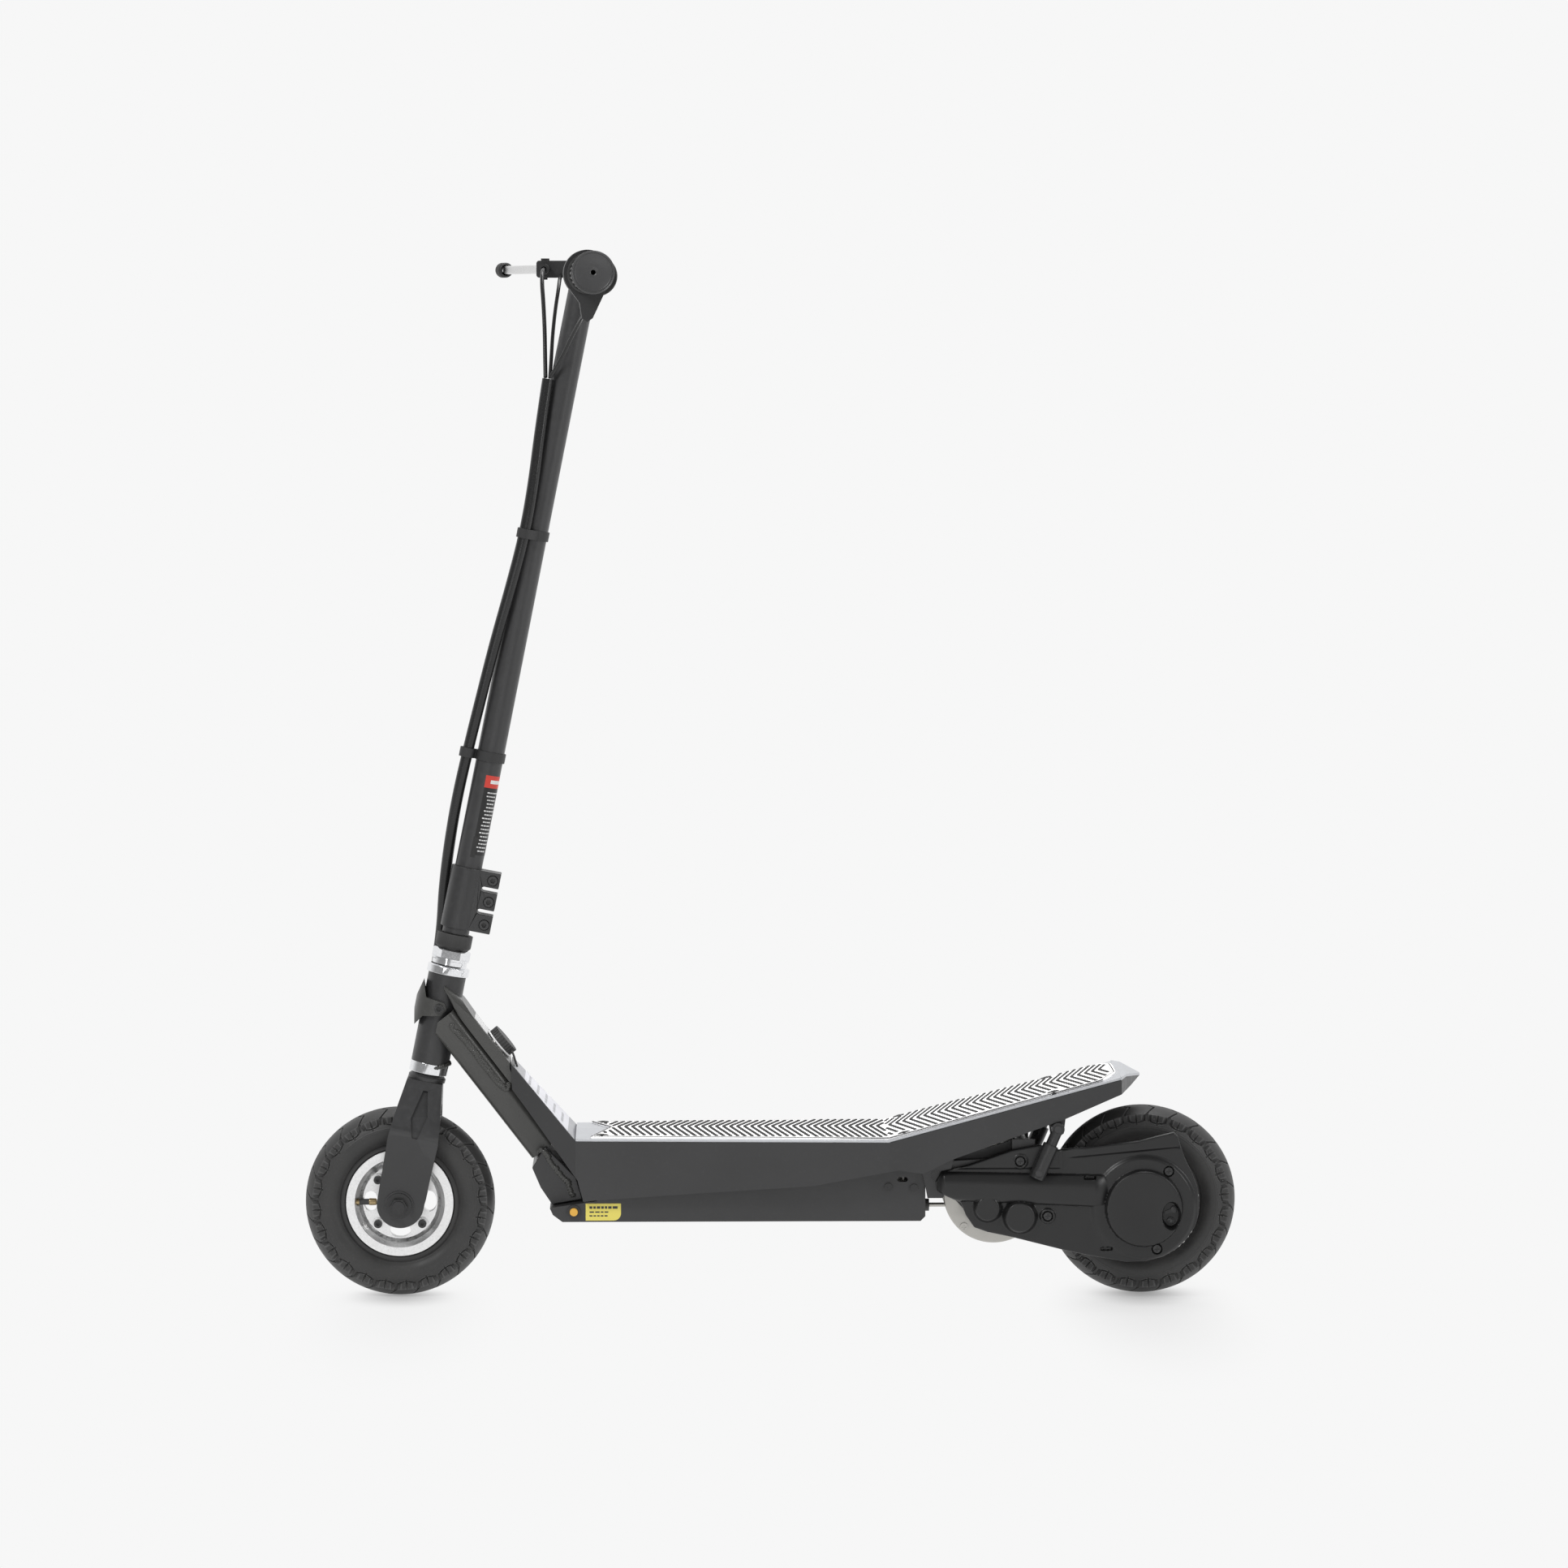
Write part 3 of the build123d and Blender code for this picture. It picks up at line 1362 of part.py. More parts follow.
def make_motor():
    """Motor can with a rear cap and a near flange held by screws."""
    with BuildPart() as motor:
        add(bar_y(MOTOR_X, MOTOR_Z, MOTOR_R - 2, -30, 42))
        add(bar_y(MOTOR_X, MOTOR_Z, MOTOR_R, -34.9, -28))
        add(bar_y(MOTOR_X, MOTOR_Z, MOTOR_R, 40, 47))
        fillet(motor.edges().filter_by(GeomType.CIRCLE).sort_by(Axis.Y)[:1], radius=1.5)
        lead = Plane(origin=(TRAY_REAR + 5.3, -30, 98), x_dir=(0, 1, 0), z_dir=(1, 0, 0))
        add(collar(lead, CABLE_R, 0, 22))
        add(bar_y(MOTOR_X, MOTOR_Z, 4 + FIT, -50, 30), mode=Mode.SUBTRACT)
        with BuildSketch(Plane.XZ.offset(30)):
            with Locations((MOTOR_X, MOTOR_Z)):
                with PolarLocations(MOTOR_R - 5.5, 4, start_angle=229):
                    Circle(2.5)
        extrude(amount=10, mode=Mode.SUBTRACT)
    return motor


def make_motor_screws():
    """Cross-head screws of the motor's flange; the two upper holes stay empty."""
    reach = MOTOR_R - 5.5
    with BuildPart() as screws:
        for angle in (radians(229), radians(319)):
            x, z = MOTOR_X + reach * cos(angle), MOTOR_Z + reach * sin(angle)
            add(bar_y(x, z, 4.3, -37, -35))
            add(bar_y(x, z, 2.4, -35.1, -30.2))
            with BuildSketch(Plane.XZ.offset(37)):
                with Locations((x, z)):
                    Rectangle(5, 1.1)
                    Rectangle(1.1, 5)
            extrude(amount=-1, mode=Mode.SUBTRACT)
    return screws


def sprocket(x, z, teeth, thickness, bore):
    """Roller-chain sprocket blank with trapezoidal teeth, around Y."""
    pitch_r = CHAIN_PITCH / 2 / sin(pi / teeth)
    root_r, tip_r = pitch_r - 1.7, pitch_r + 1.3
    points = []
    for tooth in range(teeth):
        middle = 2 * pi * tooth / teeth
        for radius, share in ((root_r, -0.3), (tip_r, -0.12), (tip_r, 0.12), (root_r, 0.3)):
            angle = middle + share * 2 * pi / teeth
            points.append((x + radius * cos(angle), z + radius * sin(angle)))
    with BuildPart() as wheel:
        add(slab_y(points, CHAIN_Y - thickness / 2, CHAIN_Y + thickness / 2))
        add(bar_y(x, z, bore, -80, 80), mode=Mode.SUBTRACT)
    return wheel.part


def make_motor_pinion():
    """Motor shaft with its pinion."""
    with BuildPart() as pinion:
        add(sprocket(MOTOR_X, MOTOR_Z, MOTOR_TEETH, 2.8, 3.9))
        add(bar_y(MOTOR_X, MOTOR_Z, 4, -47, 25))
    return pinion


def make_wheel_sprocket():
    """Large sprocket with round lightening holes, on a carrier bolted to the hub."""
    with BuildPart() as wheel:
        add(sprocket(REAR_X, AXLE_Z, WHEEL_TEETH, 2.8, 15))
        add(bar_y(REAR_X, AXLE_Z, 24, CHAIN_Y - 1.4, -38, AXLE_R + 4))
        add(bar_y(REAR_X, AXLE_Z, 17, -40, -20.1, AXLE_R + 4))
        with BuildSketch(Plane.XZ.offset(40)):
            with Locations((REAR_X, AXLE_Z)):
                with PolarLocations(37, 8):
                    Circle(8.5)
        extrude(amount=10, mode=Mode.SUBTRACT)
    return wheel


def chain_loop(pitch_small, pitch_large, grow):
    """Outline of the chain's run around both sprockets, grown outwards."""
    span = hypot(REAR_X - MOTOR_X, AXLE_Z - MOTOR_Z)
    lean = atan2(AXLE_Z - MOTOR_Z, REAR_X - MOTOR_X)
    flare = pi / 2 + atan2(pitch_large - pitch_small, span)
    small, large = pitch_small + grow, pitch_large + grow

    def at(x, z, radius, angle):
        return (x + radius * cos(angle), z + radius * sin(angle))

    top_small, top_large = at(MOTOR_X, MOTOR_Z, small, lean + flare), at(REAR_X, AXLE_Z, large, lean + flare)
    low_small, low_large = at(MOTOR_X, MOTOR_Z, small, lean - flare), at(REAR_X, AXLE_Z, large, lean - flare)
    Line(top_small, top_large)
    ThreePointArc(top_large, at(REAR_X, AXLE_Z, large, lean), low_large)
    Line(low_large, low_small)
    ThreePointArc(low_small, at(MOTOR_X, MOTOR_Z, small, lean + pi), top_small)


def make_chain():
    """The chain's two rows of side plates; the teeth run in the gap between them."""
    pitch_small = CHAIN_PITCH / 2 / sin(pi / MOTOR_TEETH)
    pitch_large = CHAIN_PITCH / 2 / sin(pi / WHEEL_TEETH)
    with BuildPart() as chain:
        for start in (CHAIN_Y - 3.2, CHAIN_Y + 1.8):
            with BuildSketch(Plane.XZ.offset(-start - 1.4)):
                with BuildLine():
                    chain_loop(pitch_small, pitch_large, 2.6)
                make_face()
                with BuildLine():
                    chain_loop(pitch_small, pitch_large, -2.6)
                make_face(mode=Mode.SUBTRACT)
            extrude(amount=1.4)
    return chain


def guard_block(inset, near, far):
    """Guard's outline as a solid between two depths, drawn in by an inset."""
    lower_edge = [(356, 46.3), (305, 54.2), (248, 69.3), (214, 76.3), (203, 91), (199, 103), (180, 114), (171, 127)]
    upper_edge = [(178, 139), (205, 145), (255, 162), (281, 167), (301, 161), (373, 169), (427, 180), (431, 157)]
    with BuildPart() as block:
        with BuildSketch(Plane.XZ.offset(-far)):
            with BuildLine():
                Polyline(*lower_edge, *upper_edge)
                ThreePointArc(upper_edge[-1], (GUARD_C[0] + GUARD_R, GUARD_C[1]), lower_edge[0])
            make_face()
            fillet(vertices().sort_by(Axis.X)[:6], radius=4)
            if inset:
                offset(amount=-inset, mode=Mode.REPLACE)
        extrude(amount=far - near)
    return block.part


def make_chain_guard():
    """Moulded cover over the near arm: a shallow shell, a round boss and two bulges."""
    face = -67.5
    bulges = ((391, 100, 41, 10), (228, 96, 18, 7), (257, 92, 16, 9))  # x, z, radius, height
    with BuildPart() as guard:
        add(guard_block(0, face, -61))
        fillet(guard.faces().sort_by(Axis.Y)[0].outer_wire().edges(), radius=2)
        for x, z, radius, rise in bulges:
            with BuildSketch(Plane.XZ.offset(-face - 1)):
                with Locations((x, z)):
                    Circle(radius)
            extrude(amount=rise + 1, taper=14)
        add(guard_block(2.5, face + 2.5, -50), mode=Mode.SUBTRACT)
        for x, z, radius, rise in bulges:
            with BuildSketch(Plane.XZ.offset(-face - 3)):
                with Locations((x, z)):
                    Circle(radius - 2.8)
            extrude(amount=rise + 0.5, taper=14, mode=Mode.SUBTRACT)
        add(slab_y([(158, 106), (188, 104), (190, 150), (158, 150)], -65.7, -50), mode=Mode.SUBTRACT)
        add(slab_y([(268, 150), (268, 200), (300, 200), (300, 150)], -63.5, -50), mode=Mode.SUBTRACT)
        for x, z in GUARD_SCREWS:
            add(bar_y(x, z, 2.2, -75, -50), mode=Mode.SUBTRACT)
        add(bar_y(SHOCK_LOW[0], SHOCK_LOW[1], 4.6, -75, -50), mode=Mode.SUBTRACT)
        for x, z in ((333.5, 133), (352, 56.5)):
            with BuildSketch(Plane.XZ.offset(60)):
                with Locations((x, z)):
                    SlotOverall(11, 3)
            extrude(amount=10, mode=Mode.SUBTRACT)
    return guard


def make_guard_screws():
    """Cross-head screws that hold the chain guard on the near arm."""
    with BuildPart() as screws:
        for x, z in GUARD_SCREWS:
            add(bar_y(x, z, 4.2, -69.5, -67.5))
            add(bar_y(x, z, 2, -67.6, -61))
            with BuildSketch(Plane.XZ.offset(69.5)):
                with Locations((x, z)):
                    Rectangle(5, 1)
                    Rectangle(1, 5)
            extrude(amount=-1, mode=Mode.SUBTRACT)
    return screws


def shock_plane(side):
    run = (SHOCK_TOP[0] - SHOCK_LOW[0], SHOCK_TOP[1] - SHOCK_LOW[1])
    return Plane(origin=(SHOCK_LOW[0], side * SHOCK_Y, SHOCK_LOW[1]), x_dir=(0, 1, 0), z_dir=(run[0], 0, run[1]))


def make_shock_sleeves():
    """Lower tubes of the two shock absorbers, each with an eye on the arm's stud."""
    with BuildPart() as sleeves:
        for side in (-1, 1):
            plane = shock_plane(side)
            add(collar(plane, SLEEVE_R, -6, 32))
            add(collar(plane, SHOCK_ROD_R + 1.05, 8, 40), mode=Mode.SUBTRACT)
            middle = side * SHOCK_Y
            add(bar_y(SHOCK_LOW[0], SHOCK_LOW[1], 4 + FIT, middle - 10, middle + 10), mode=Mode.SUBTRACT)
    return sleeves


def make_shock_rods():
    """Upper rods of the two shock absorbers, each with an eye on the deck's stud."""
    length = hypot(SHOCK_TOP[0] - SHOCK_LOW[0], SHOCK_TOP[1] - SHOCK_LOW[1])
    with BuildPart() as rods:
        for side in (-1, 1):
            plane = shock_plane(side)
            add(collar(plane, SHOCK_ROD_R, 16.5, length))
            ends = sorted((side * (SHOCK_Y - 9), side * (SHOCK_Y + 4)))
            add(bar_y(SHOCK_TOP[0], SHOCK_TOP[1], 6.8, ends[0], ends[1]))
            add(bar_y(SHOCK_TOP[0], SHOCK_TOP[1], 4 + FIT, -90, 90), mode=Mode.SUBTRACT)
    return rods


# ---------------------------------------------------------------- rear brake
def make_brake_drum():
    """Drum on the far side of the rear hub."""
    outline = [(20.1, 9), (20.1, 17), (26, 17), (26, 36), (44, 36), (44, 33), (29, 33), (29, 9)]
    with BuildPart() as drum:
        add(turned(wheel_plane(REAR_X), wheel_axis(REAR_X), outline))
    return drum


def make_brake_cover():
    """Fixed brake plate on the far arm, with the lined band inside its rim."""
    with BuildPart() as cover:
        add(bar_y(REAR_X, AXLE_Z, 42, 46.5, 49.5, 7.5 + FIT))
        add(bar_y(REAR_X, AXLE_Z, 42, 30, 47, 40))
        add(bar_y(REAR_X, AXLE_Z, 12, 49.4, 54.9, 7.5 + FIT))
        add(slab_y([(330, 90), (330, 104), (353, 112), (353, 86)], 46.5, 49.5))
        add(bar_y(BRAKE_STUD[0], BRAKE_STUD[1], 3, 49, 65))
        add(bar_y(REAR_X, AXLE_Z, 39, 31, 45, 36.3))
    return cover


def make_brake_arm():
    """Arm on the cover's stud that the rear cable pulls to tighten the band."""
    with BuildPart() as arm:
        with BuildSketch(Plane.XZ.offset(-60.4)):
            with BuildLine():
                Polyline((330, 97), (334, 91), (341, 91), (341, 120), (336, 126), (331, 120), close=True)
            make_face()
            with Locations(BRAKE_STUD):
                Circle(7)
                Circle(3 + FIT, mode=Mode.SUBTRACT)
        extrude(amount=-3)
    return arm


# ---------------------------------------------------------------- build every piece
make_wheel(FRONT_X, "front")
make_wheel(REAR_X, "rear")
finish(make_fork(), "fork")
front_axle = make_axle(FRONT_X, 20.1, FORK_INNER - 0.05, 52)
finish(together(front_axle, make_axle_nuts(FRONT_X, FORK_FACE + 2, 13.5, 11)), "front_axle")
finish(make_headset_cups(), "headset_cups")
finish(make_headset_nuts(), "headset_nuts")
finish(make_dust_ring(), "dust_ring")
finish(make_stem_tube(), "stem_tube")
finish(make_stem_clamp(), "stem_clamp")
finish(make_clamp_bolts(), "clamp_bolts")
finish(make_handlebar(), "handlebar")
finish(make_throttle_housing(), "throttle_housing")
finish(make_throttle_sleeve(), "throttle_sleeve")
finish(together(make_grip(NEAR_BAR, 116), make_grip(FAR_BAR, 76)), "bar_grips")
finish(together(make_brake_perch(), make_cable_adjuster()), "brake_perch")
finish(together(make_brake_lever(), make_lever_tip()), "brake_lever")
finish(make_cord("stem loom", STEM_LOOM, LOOM_R), "stem_loom")
finish(make_cord("frame loom", FRAME_LOOM, LOOM_R), "frame_loom")
brake_cable = make_cord("brake cable", BRAKE_CABLE, CABLE_R)
switch_wire = make_cord("switch wire", SWITCH_WIRE, WIRE_R)
throttle_wire = make_cord("throttle wire", THROTTLE_WIRE, WIRE_R)
finish(together(brake_cable, switch_wire, throttle_wire), "control_cables")
finish(make_loom_clips(), "loom_clips")
finish(make_guide_bracket(), "guide_bracket")
finish(make_head_tube(), "head_tube")
finish(make_down_tube(), "down_tube")
finish(make_upper_neck(), "upper_neck")
finish(make_foot_casting(), "foot_casting")
finish(make_deck_frame(), "deck_frame")
finish(make_deck_plate(), "deck_plate")
finish(make_grip_pad(), "grip_pad")
finish(make_tray(), "battery_tray")
finish(together(make_frame_bolts(), make_deck_screws()), "frame_screws")
finish(make_batteries(), "batteries")
finish(make_controller(), "motor_controller")
finish(make_reset_switch(), "reset_switch")
finish(make_reset_button(), "reset_button")
finish(make_grommet(), "motor_lead_grommet")
finish(make_charge_socket(), "charge_socket")
finish(make_charge_cap(), "charge_cap")
finish(make_swingarm(), "swingarm")
finish(make_pivot_bolt(), "pivot_bolt")
finish(together(make_motor(), make_motor_screws()), "motor")
finish(make_motor_pinion(), "motor_pinion")
finish(make_wheel_sprocket(), "wheel_sprocket")
finish(make_chain(), "drive_chain")
finish(make_chain_guard(), "chain_guard")
finish(make_guard_screws(), "guard_screws")
finish(make_shock_sleeves(), "shock_sleeves")
finish(make_shock_rods(), "shock_rods")
rear_axle = make_axle(REAR_X, 20.1, ARM_IN - 0.05, 67)
finish(together(rear_axle, make_axle_nuts(REAR_X, ARM_OUT + 0.1, 9.5, 7)), "rear_axle")
finish(make_brake_drum(), "brake_drum")
finish(make_brake_cover(), "brake_cover")
finish(make_brake_arm(), "brake_arm")
finish(make_cord("rear brake cable", BRAKE_REAR_CABLE, CABLE_R), "rear_brake_cable")
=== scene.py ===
import json
import math
import random

import bpy
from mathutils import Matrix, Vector


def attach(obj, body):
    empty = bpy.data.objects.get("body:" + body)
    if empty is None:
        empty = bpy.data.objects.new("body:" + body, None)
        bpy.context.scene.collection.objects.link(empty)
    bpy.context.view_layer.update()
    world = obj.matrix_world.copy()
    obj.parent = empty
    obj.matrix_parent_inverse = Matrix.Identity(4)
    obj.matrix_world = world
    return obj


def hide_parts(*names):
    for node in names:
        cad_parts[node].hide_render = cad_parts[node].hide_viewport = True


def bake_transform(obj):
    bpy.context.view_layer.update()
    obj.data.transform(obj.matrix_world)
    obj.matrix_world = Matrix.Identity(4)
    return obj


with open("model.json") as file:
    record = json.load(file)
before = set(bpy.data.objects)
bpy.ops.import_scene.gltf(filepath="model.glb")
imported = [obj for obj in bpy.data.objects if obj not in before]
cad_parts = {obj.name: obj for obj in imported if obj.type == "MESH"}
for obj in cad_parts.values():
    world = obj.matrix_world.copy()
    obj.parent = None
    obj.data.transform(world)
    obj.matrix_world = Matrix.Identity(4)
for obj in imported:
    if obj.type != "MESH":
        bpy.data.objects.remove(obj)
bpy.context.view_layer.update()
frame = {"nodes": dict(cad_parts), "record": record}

nodes = frame["nodes"]
MM = 0.001

# ------------------------ shared dimensions, metres
FRONT_X, REAR_X, AXLE_Z = -0.392, 0.392, 0.100
LEAN = math.radians(11.3)
STEER_FOOT = Vector((-0.3895, 0, 0.1))
STEER_DIR = Vector((math.sin(LEAN), 0, math.cos(LEAN)))
STEER_BACK = Vector((math.cos(LEAN), 0, -math.sin(LEAN)))
SWEEP = math.radians(3.1)
BAR_X, BAR_Y, BAR_Z = -0.194396, 0.035, 1.0764
LEVER_AHEAD, LEVER_OUT, PERCH_UP = 47, 63, 6
DECK_Z, FOLD_X, KINK_X, TAIL_X = 0.171, -0.206, 0.122, 0.366
FOLD_HALF, KINK_HALF, TAIL_HALF = 0.068, 0.085, 0.073
TAIL_ANGLE = math.radians(14.7)


def at_stem(across, side, up):
    """Point across, beside and along the steering axis, given in millimetres."""
    return STEER_FOOT + (STEER_BACK * across + Vector((0, 1, 0)) * side + STEER_DIR * up) * MM


# ------------------------ materials
class Tree:
    """Short way to write a material's nodes."""

    def __init__(self, name):
        self.mat = bpy.data.materials.new(name)
        self.mat.use_nodes = True
        self.nodes = self.mat.node_tree.nodes
        self.links = self.mat.node_tree.links
        self.bsdf = self.nodes["Principled BSDF"]
        self.coord = self.nodes.new("ShaderNodeTexCoord").outputs["Object"]

    def add(self, kind, inputs=(), **values):
        """New node with its settings and the default values of (input, value) pairs."""
        node = self.nodes.new(kind)
        for key, value in values.items():
            setattr(node, key, value)
        for key, value in inputs:
            node.inputs[key].default_value = value
        return node

    def link(self, out, to):
        self.links.new(out, to)

    def noise(self, scale, detail=4.0, stretch=None, rough=0.55):
        settings = (("Scale", scale), ("Detail", detail), ("Roughness", rough))
        node = self.add("ShaderNodeTexNoise", settings)
        self.link(self.spread(stretch), node.inputs["Vector"])
        return node.outputs["Fac"]

    def spread(self, stretch):
        if stretch is None:
            return self.coord
        mapping = self.add("ShaderNodeMapping", [("Scale", stretch)])
        self.link(self.coord, mapping.inputs["Vector"])
        return mapping.outputs["Vector"]

    def ramp(self, fac, low, high, start=0.35, end=0.65):
        limits = (("From Min", start), ("From Max", end), ("To Min", low), ("To Max", high))
        node = self.add("ShaderNodeMapRange", limits)
        self.link(fac, node.inputs["Value"])
        return node.outputs["Result"]

    def mix(self, fac, a, b):
        node = self.add("ShaderNodeMix", data_type="RGBA")
        for value, key in ((fac, "Factor"), (a, "A"), (b, "B")):
            socket = [s for s in node.inputs if s.name == key and s.enabled][0]
            if isinstance(value, bpy.types.NodeSocket):
                self.link(value, socket)
            else:
                socket.default_value = value
        return [s for s in node.outputs if s.enabled][0]

    def bump(self, heights):
        """Chain of bumps: (height, distance, strength)."""
        normal = None
        for height, distance, strength in heights:
            node = self.add("ShaderNodeBump", (("Distance", distance), ("Strength", strength)))
            self.link(height, node.inputs["Height"])
            if normal is not None:
                self.link(normal, node.inputs["Normal"])
            normal = node.outputs["Normal"]
        self.link(normal, self.bsdf.inputs["Normal"])

    def edge(self, radius):
        """1 on outer edges, 0 elsewhere: rubbed wear on the paint, a painted highlight on the rubber."""
        geometry = self.add("ShaderNodeNewGeometry")
        return self.ramp(geometry.outputs["Pointiness"], 0.0, 1.0, 0.5 + radius, 0.56 + radius)


def grey(value, tint=(1.0, 1.0, 1.0)):
    return (value * tint[0], value * tint[1], value * tint[2], 1.0)


def paint(name, base, tint=(1.0, 1.0, 1.03), rough=0.42, peel=0.25, wear=0.10):
    """Powder coat: fine orange peel, soft dust and slightly rubbed edges."""
    t = Tree(name)
    cloud = t.noise(9.0, 5.0)
    dust = t.noise(160.0, 6.0)
    colour = t.mix(t.ramp(cloud, 0.0, 1.0, 0.3, 0.7), grey(base * 0.88, tint), grey(base * 1.14, tint))
    colour = t.mix(t.ramp(dust, 0.0, 0.25, 0.55, 0.8), colour, grey(base * 1.8 + 0.01, tint))
    colour = t.mix(t.ramp(t.edge(0.03), 0.0, wear), colour, grey(base * 3.0 + 0.02, tint))
    t.link(colour, t.bsdf.inputs["Base Color"])
    t.link(t.ramp(dust, rough - 0.05, rough + 0.1, 0.3, 0.7), t.bsdf.inputs["Roughness"])
    t.bsdf.inputs["Coat Weight"].default_value = 0.12
    t.bsdf.inputs["Coat Roughness"].default_value = 0.35
    t.bump([(t.noise(1400.0, 2.0), 0.00012, peel), (t.noise(60.0, 3.0), 0.0006, 0.06)])
    return t.mat


def plastic(name, base, tint=(1.0, 1.0, 1.02), rough=0.5, grain=0.35, scale=2600.0):
    """Moulded plastic with a spark-eroded grain."""
    t = Tree(name)
    cloud = t.noise(14.0, 4.0)
    speck = t.noise(900.0, 3.0)
    colour = t.mix(t.ramp(cloud, 0.0, 1.0, 0.3, 0.7), grey(base * 0.9, tint), grey(base * 1.12, tint))
    colour = t.mix(t.ramp(speck, 0.0, 0.2, 0.6, 0.8), colour, grey(base * 2.0 + 0.01, tint))
    t.link(colour, t.bsdf.inputs["Base Color"])
    t.link(t.ramp(speck, rough - 0.06, rough + 0.08, 0.3, 0.7), t.bsdf.inputs["Roughness"])
    t.bump([(t.noise(scale, 2.0), 0.0001, grain)])
    return t.mat


def rubber(name, base, rough=0.62, scale=1500.0):
    """Moulded rubber with bloom and dust in the grain, and a painted highlight on its convex edges."""
    t = Tree(name)
    bloom = t.noise(26.0, 6.0, rough=0.65)
    dust = t.noise(420.0, 5.0)
    bloomed = grey(base * 1.25, (1.02, 1.0, 0.98))
    dusty = grey(base * 2.2 + 0.01, (1.03, 1.0, 0.95))
    colour = t.mix(t.ramp(bloom, 0.0, 1.0, 0.35, 0.7), grey(base * 0.85), bloomed)
    colour = t.mix(t.ramp(dust, 0.0, 0.3, 0.55, 0.8), colour, dusty)
    # convex edges lightened: a painted highlight along the tread's groove edges and ridges
    colour = t.mix(t.ramp(t.edge(0.0), 0.0, 0.5), colour, grey(base * 3.0 + 0.03))
    t.link(colour, t.bsdf.inputs["Base Color"])
    t.link(t.ramp(bloom, rough - 0.1, rough + 0.12, 0.3, 0.7), t.bsdf.inputs["Roughness"])
    t.bump([(t.noise(scale, 3.0), 0.00015, 0.3), (dust, 0.0002, 0.12)])
    return t.mat


def metal(name, base, tint=(1.0, 1.0, 1.0), rough=0.25, brush=None, wear=0.2, strength=0.1):
    """Bare metal. brush stretches the grain along one axis."""
    t = Tree(name)
    grain = t.noise(1.0 if brush else 500.0, 5.0, brush)
    smudge = t.noise(30.0, 5.0)
    bright = grey(min(1.0, base * 1.06), tint)
    colour = t.mix(t.ramp(grain, 0.0, 1.0, 0.3, 0.7), grey(base * 0.9, tint), bright)
    colour = t.mix(t.ramp(smudge, 0.0, wear, 0.5, 0.8), colour, grey(base * 0.72, (1.0, 0.98, 0.94)))
    t.link(colour, t.bsdf.inputs["Base Color"])
    t.bsdf.inputs["Metallic"].default_value = 1.0
    t.link(t.ramp(grain, rough * 0.75, rough * 1.3, 0.3, 0.7), t.bsdf.inputs["Roughness"])
    t.bump([(grain, 0.00008, strength), (smudge, 0.0003, 0.03)])
    return t.mat


MATERIALS = {
    "frame_paint": paint("frame_paint", 0.029, rough=0.36),
    "frame_olive": paint("frame_olive", 0.052, (1.0, 1.0, 0.94), 0.30),
    "chrome": metal("chrome", 0.86, (0.99, 1.0, 1.02), 0.07, None, 0.1, 0.03),
    "bright_steel": metal("bright_steel", 0.62, (1.0, 0.99, 0.97), 0.28),
    "black_steel": paint("black_steel", 0.016, rough=0.28, peel=0.08, wear=0.25),
    "cast_alloy": metal("cast_alloy", 0.72, (1.0, 1.0, 1.0), 0.3, None, 0.2, 0.2),
    "rim_alloy": metal("rim_alloy", 0.85, (1.0, 1.0, 1.0), 0.34, None, 0.12, 0.12),
    "motor_alloy": metal("motor_alloy", 0.5, (1.0, 0.98, 0.92), 0.38, (60.0, 900.0, 60.0), 0.25, 0.15),
    "tyre": rubber("tyre", 0.034, 0.5),
    "tube_rubber": rubber("tube_rubber", 0.02),
    "black_rubber": rubber("black_rubber", 0.022, 0.55),
    "black_plastic": plastic("black_plastic", 0.026),
    "guard_black": plastic("guard_black", 0.010, rough=0.34, grain=0.08),
    "disc_grey": plastic("disc_grey", 0.060, rough=0.34, grain=0.10),
    "cable_black": plastic("cable_black", 0.014, rough=0.24, grain=0.05),
    "deck_silver": metal("deck_silver", 0.62, (0.98, 1.0, 1.04), 0.42, None, 0.15, 0.2),
    "mat_grey": rubber("mat_grey", 0.66, 0.5),
    "stud_black": plastic("stud_black", 0.010, rough=0.55, grain=0.10),
    "button_yellow": plastic("button_yellow", 0.75, (1.0, 0.55, 0.08), 0.35, 0.05),
    "battery_case": plastic("battery_case", 0.05, rough=0.4),
    "white_ring": plastic("white_ring", 0.8, (1, 1, 1), 0.4, 0.05),
}


def soften(obj, width):
    """Small rounded edges on a machined or moulded piece."""
    weld = obj.modifiers.new("Weld", "WELD")
    weld.merge_threshold = 0.00001
    bevel = obj.modifiers.new("Bevel", "BEVEL")
    bevel.width = width
    bevel.segments = 2
    bevel.limit_method = "ANGLE"
    bevel.angle_limit = math.radians(32.0)
    bevel.use_clamp_overlap = True
    bevel.harden_normals = True
    normal = obj.modifiers.new("Normals", "WEIGHTED_NORMAL")
    normal.keep_sharp = True


slots = {s["node"]: s["material_slot"] for s in frame["record"]["subparts"]}
for name, obj in nodes.items():
    material = MATERIALS[slots[name]]
    obj.data.materials.clear()
    obj.data.materials.append(material)
SOFT_EDGES = {
    0.0003: "deck_plate frame_screws guard_screws charge_socket loom_clips brake_arm reset_switch",
    0.0004: "headset_cups dust_ring pivot_bolt",
    0.0005: "brake_lever front_axle rear_axle shock_rods front_rim_halves rear_rim_halves brake_drum",
    0.0006: "chain_guard shock_sleeves brake_cover head_tube",
    0.0007: "swingarm stem_clamp brake_perch",
    0.0008: "guide_bracket motor",
    0.0009: "battery_tray",
    0.0011: "deck_frame",
    0.0014: "foot_casting throttle_housing",
    0.0016: "fork",
    0.0030: "upper_neck",
    0.0045: "down_tube",
}
for width, names in SOFT_EDGES.items():
    for name in names.split():
        soften(nodes[name], width)


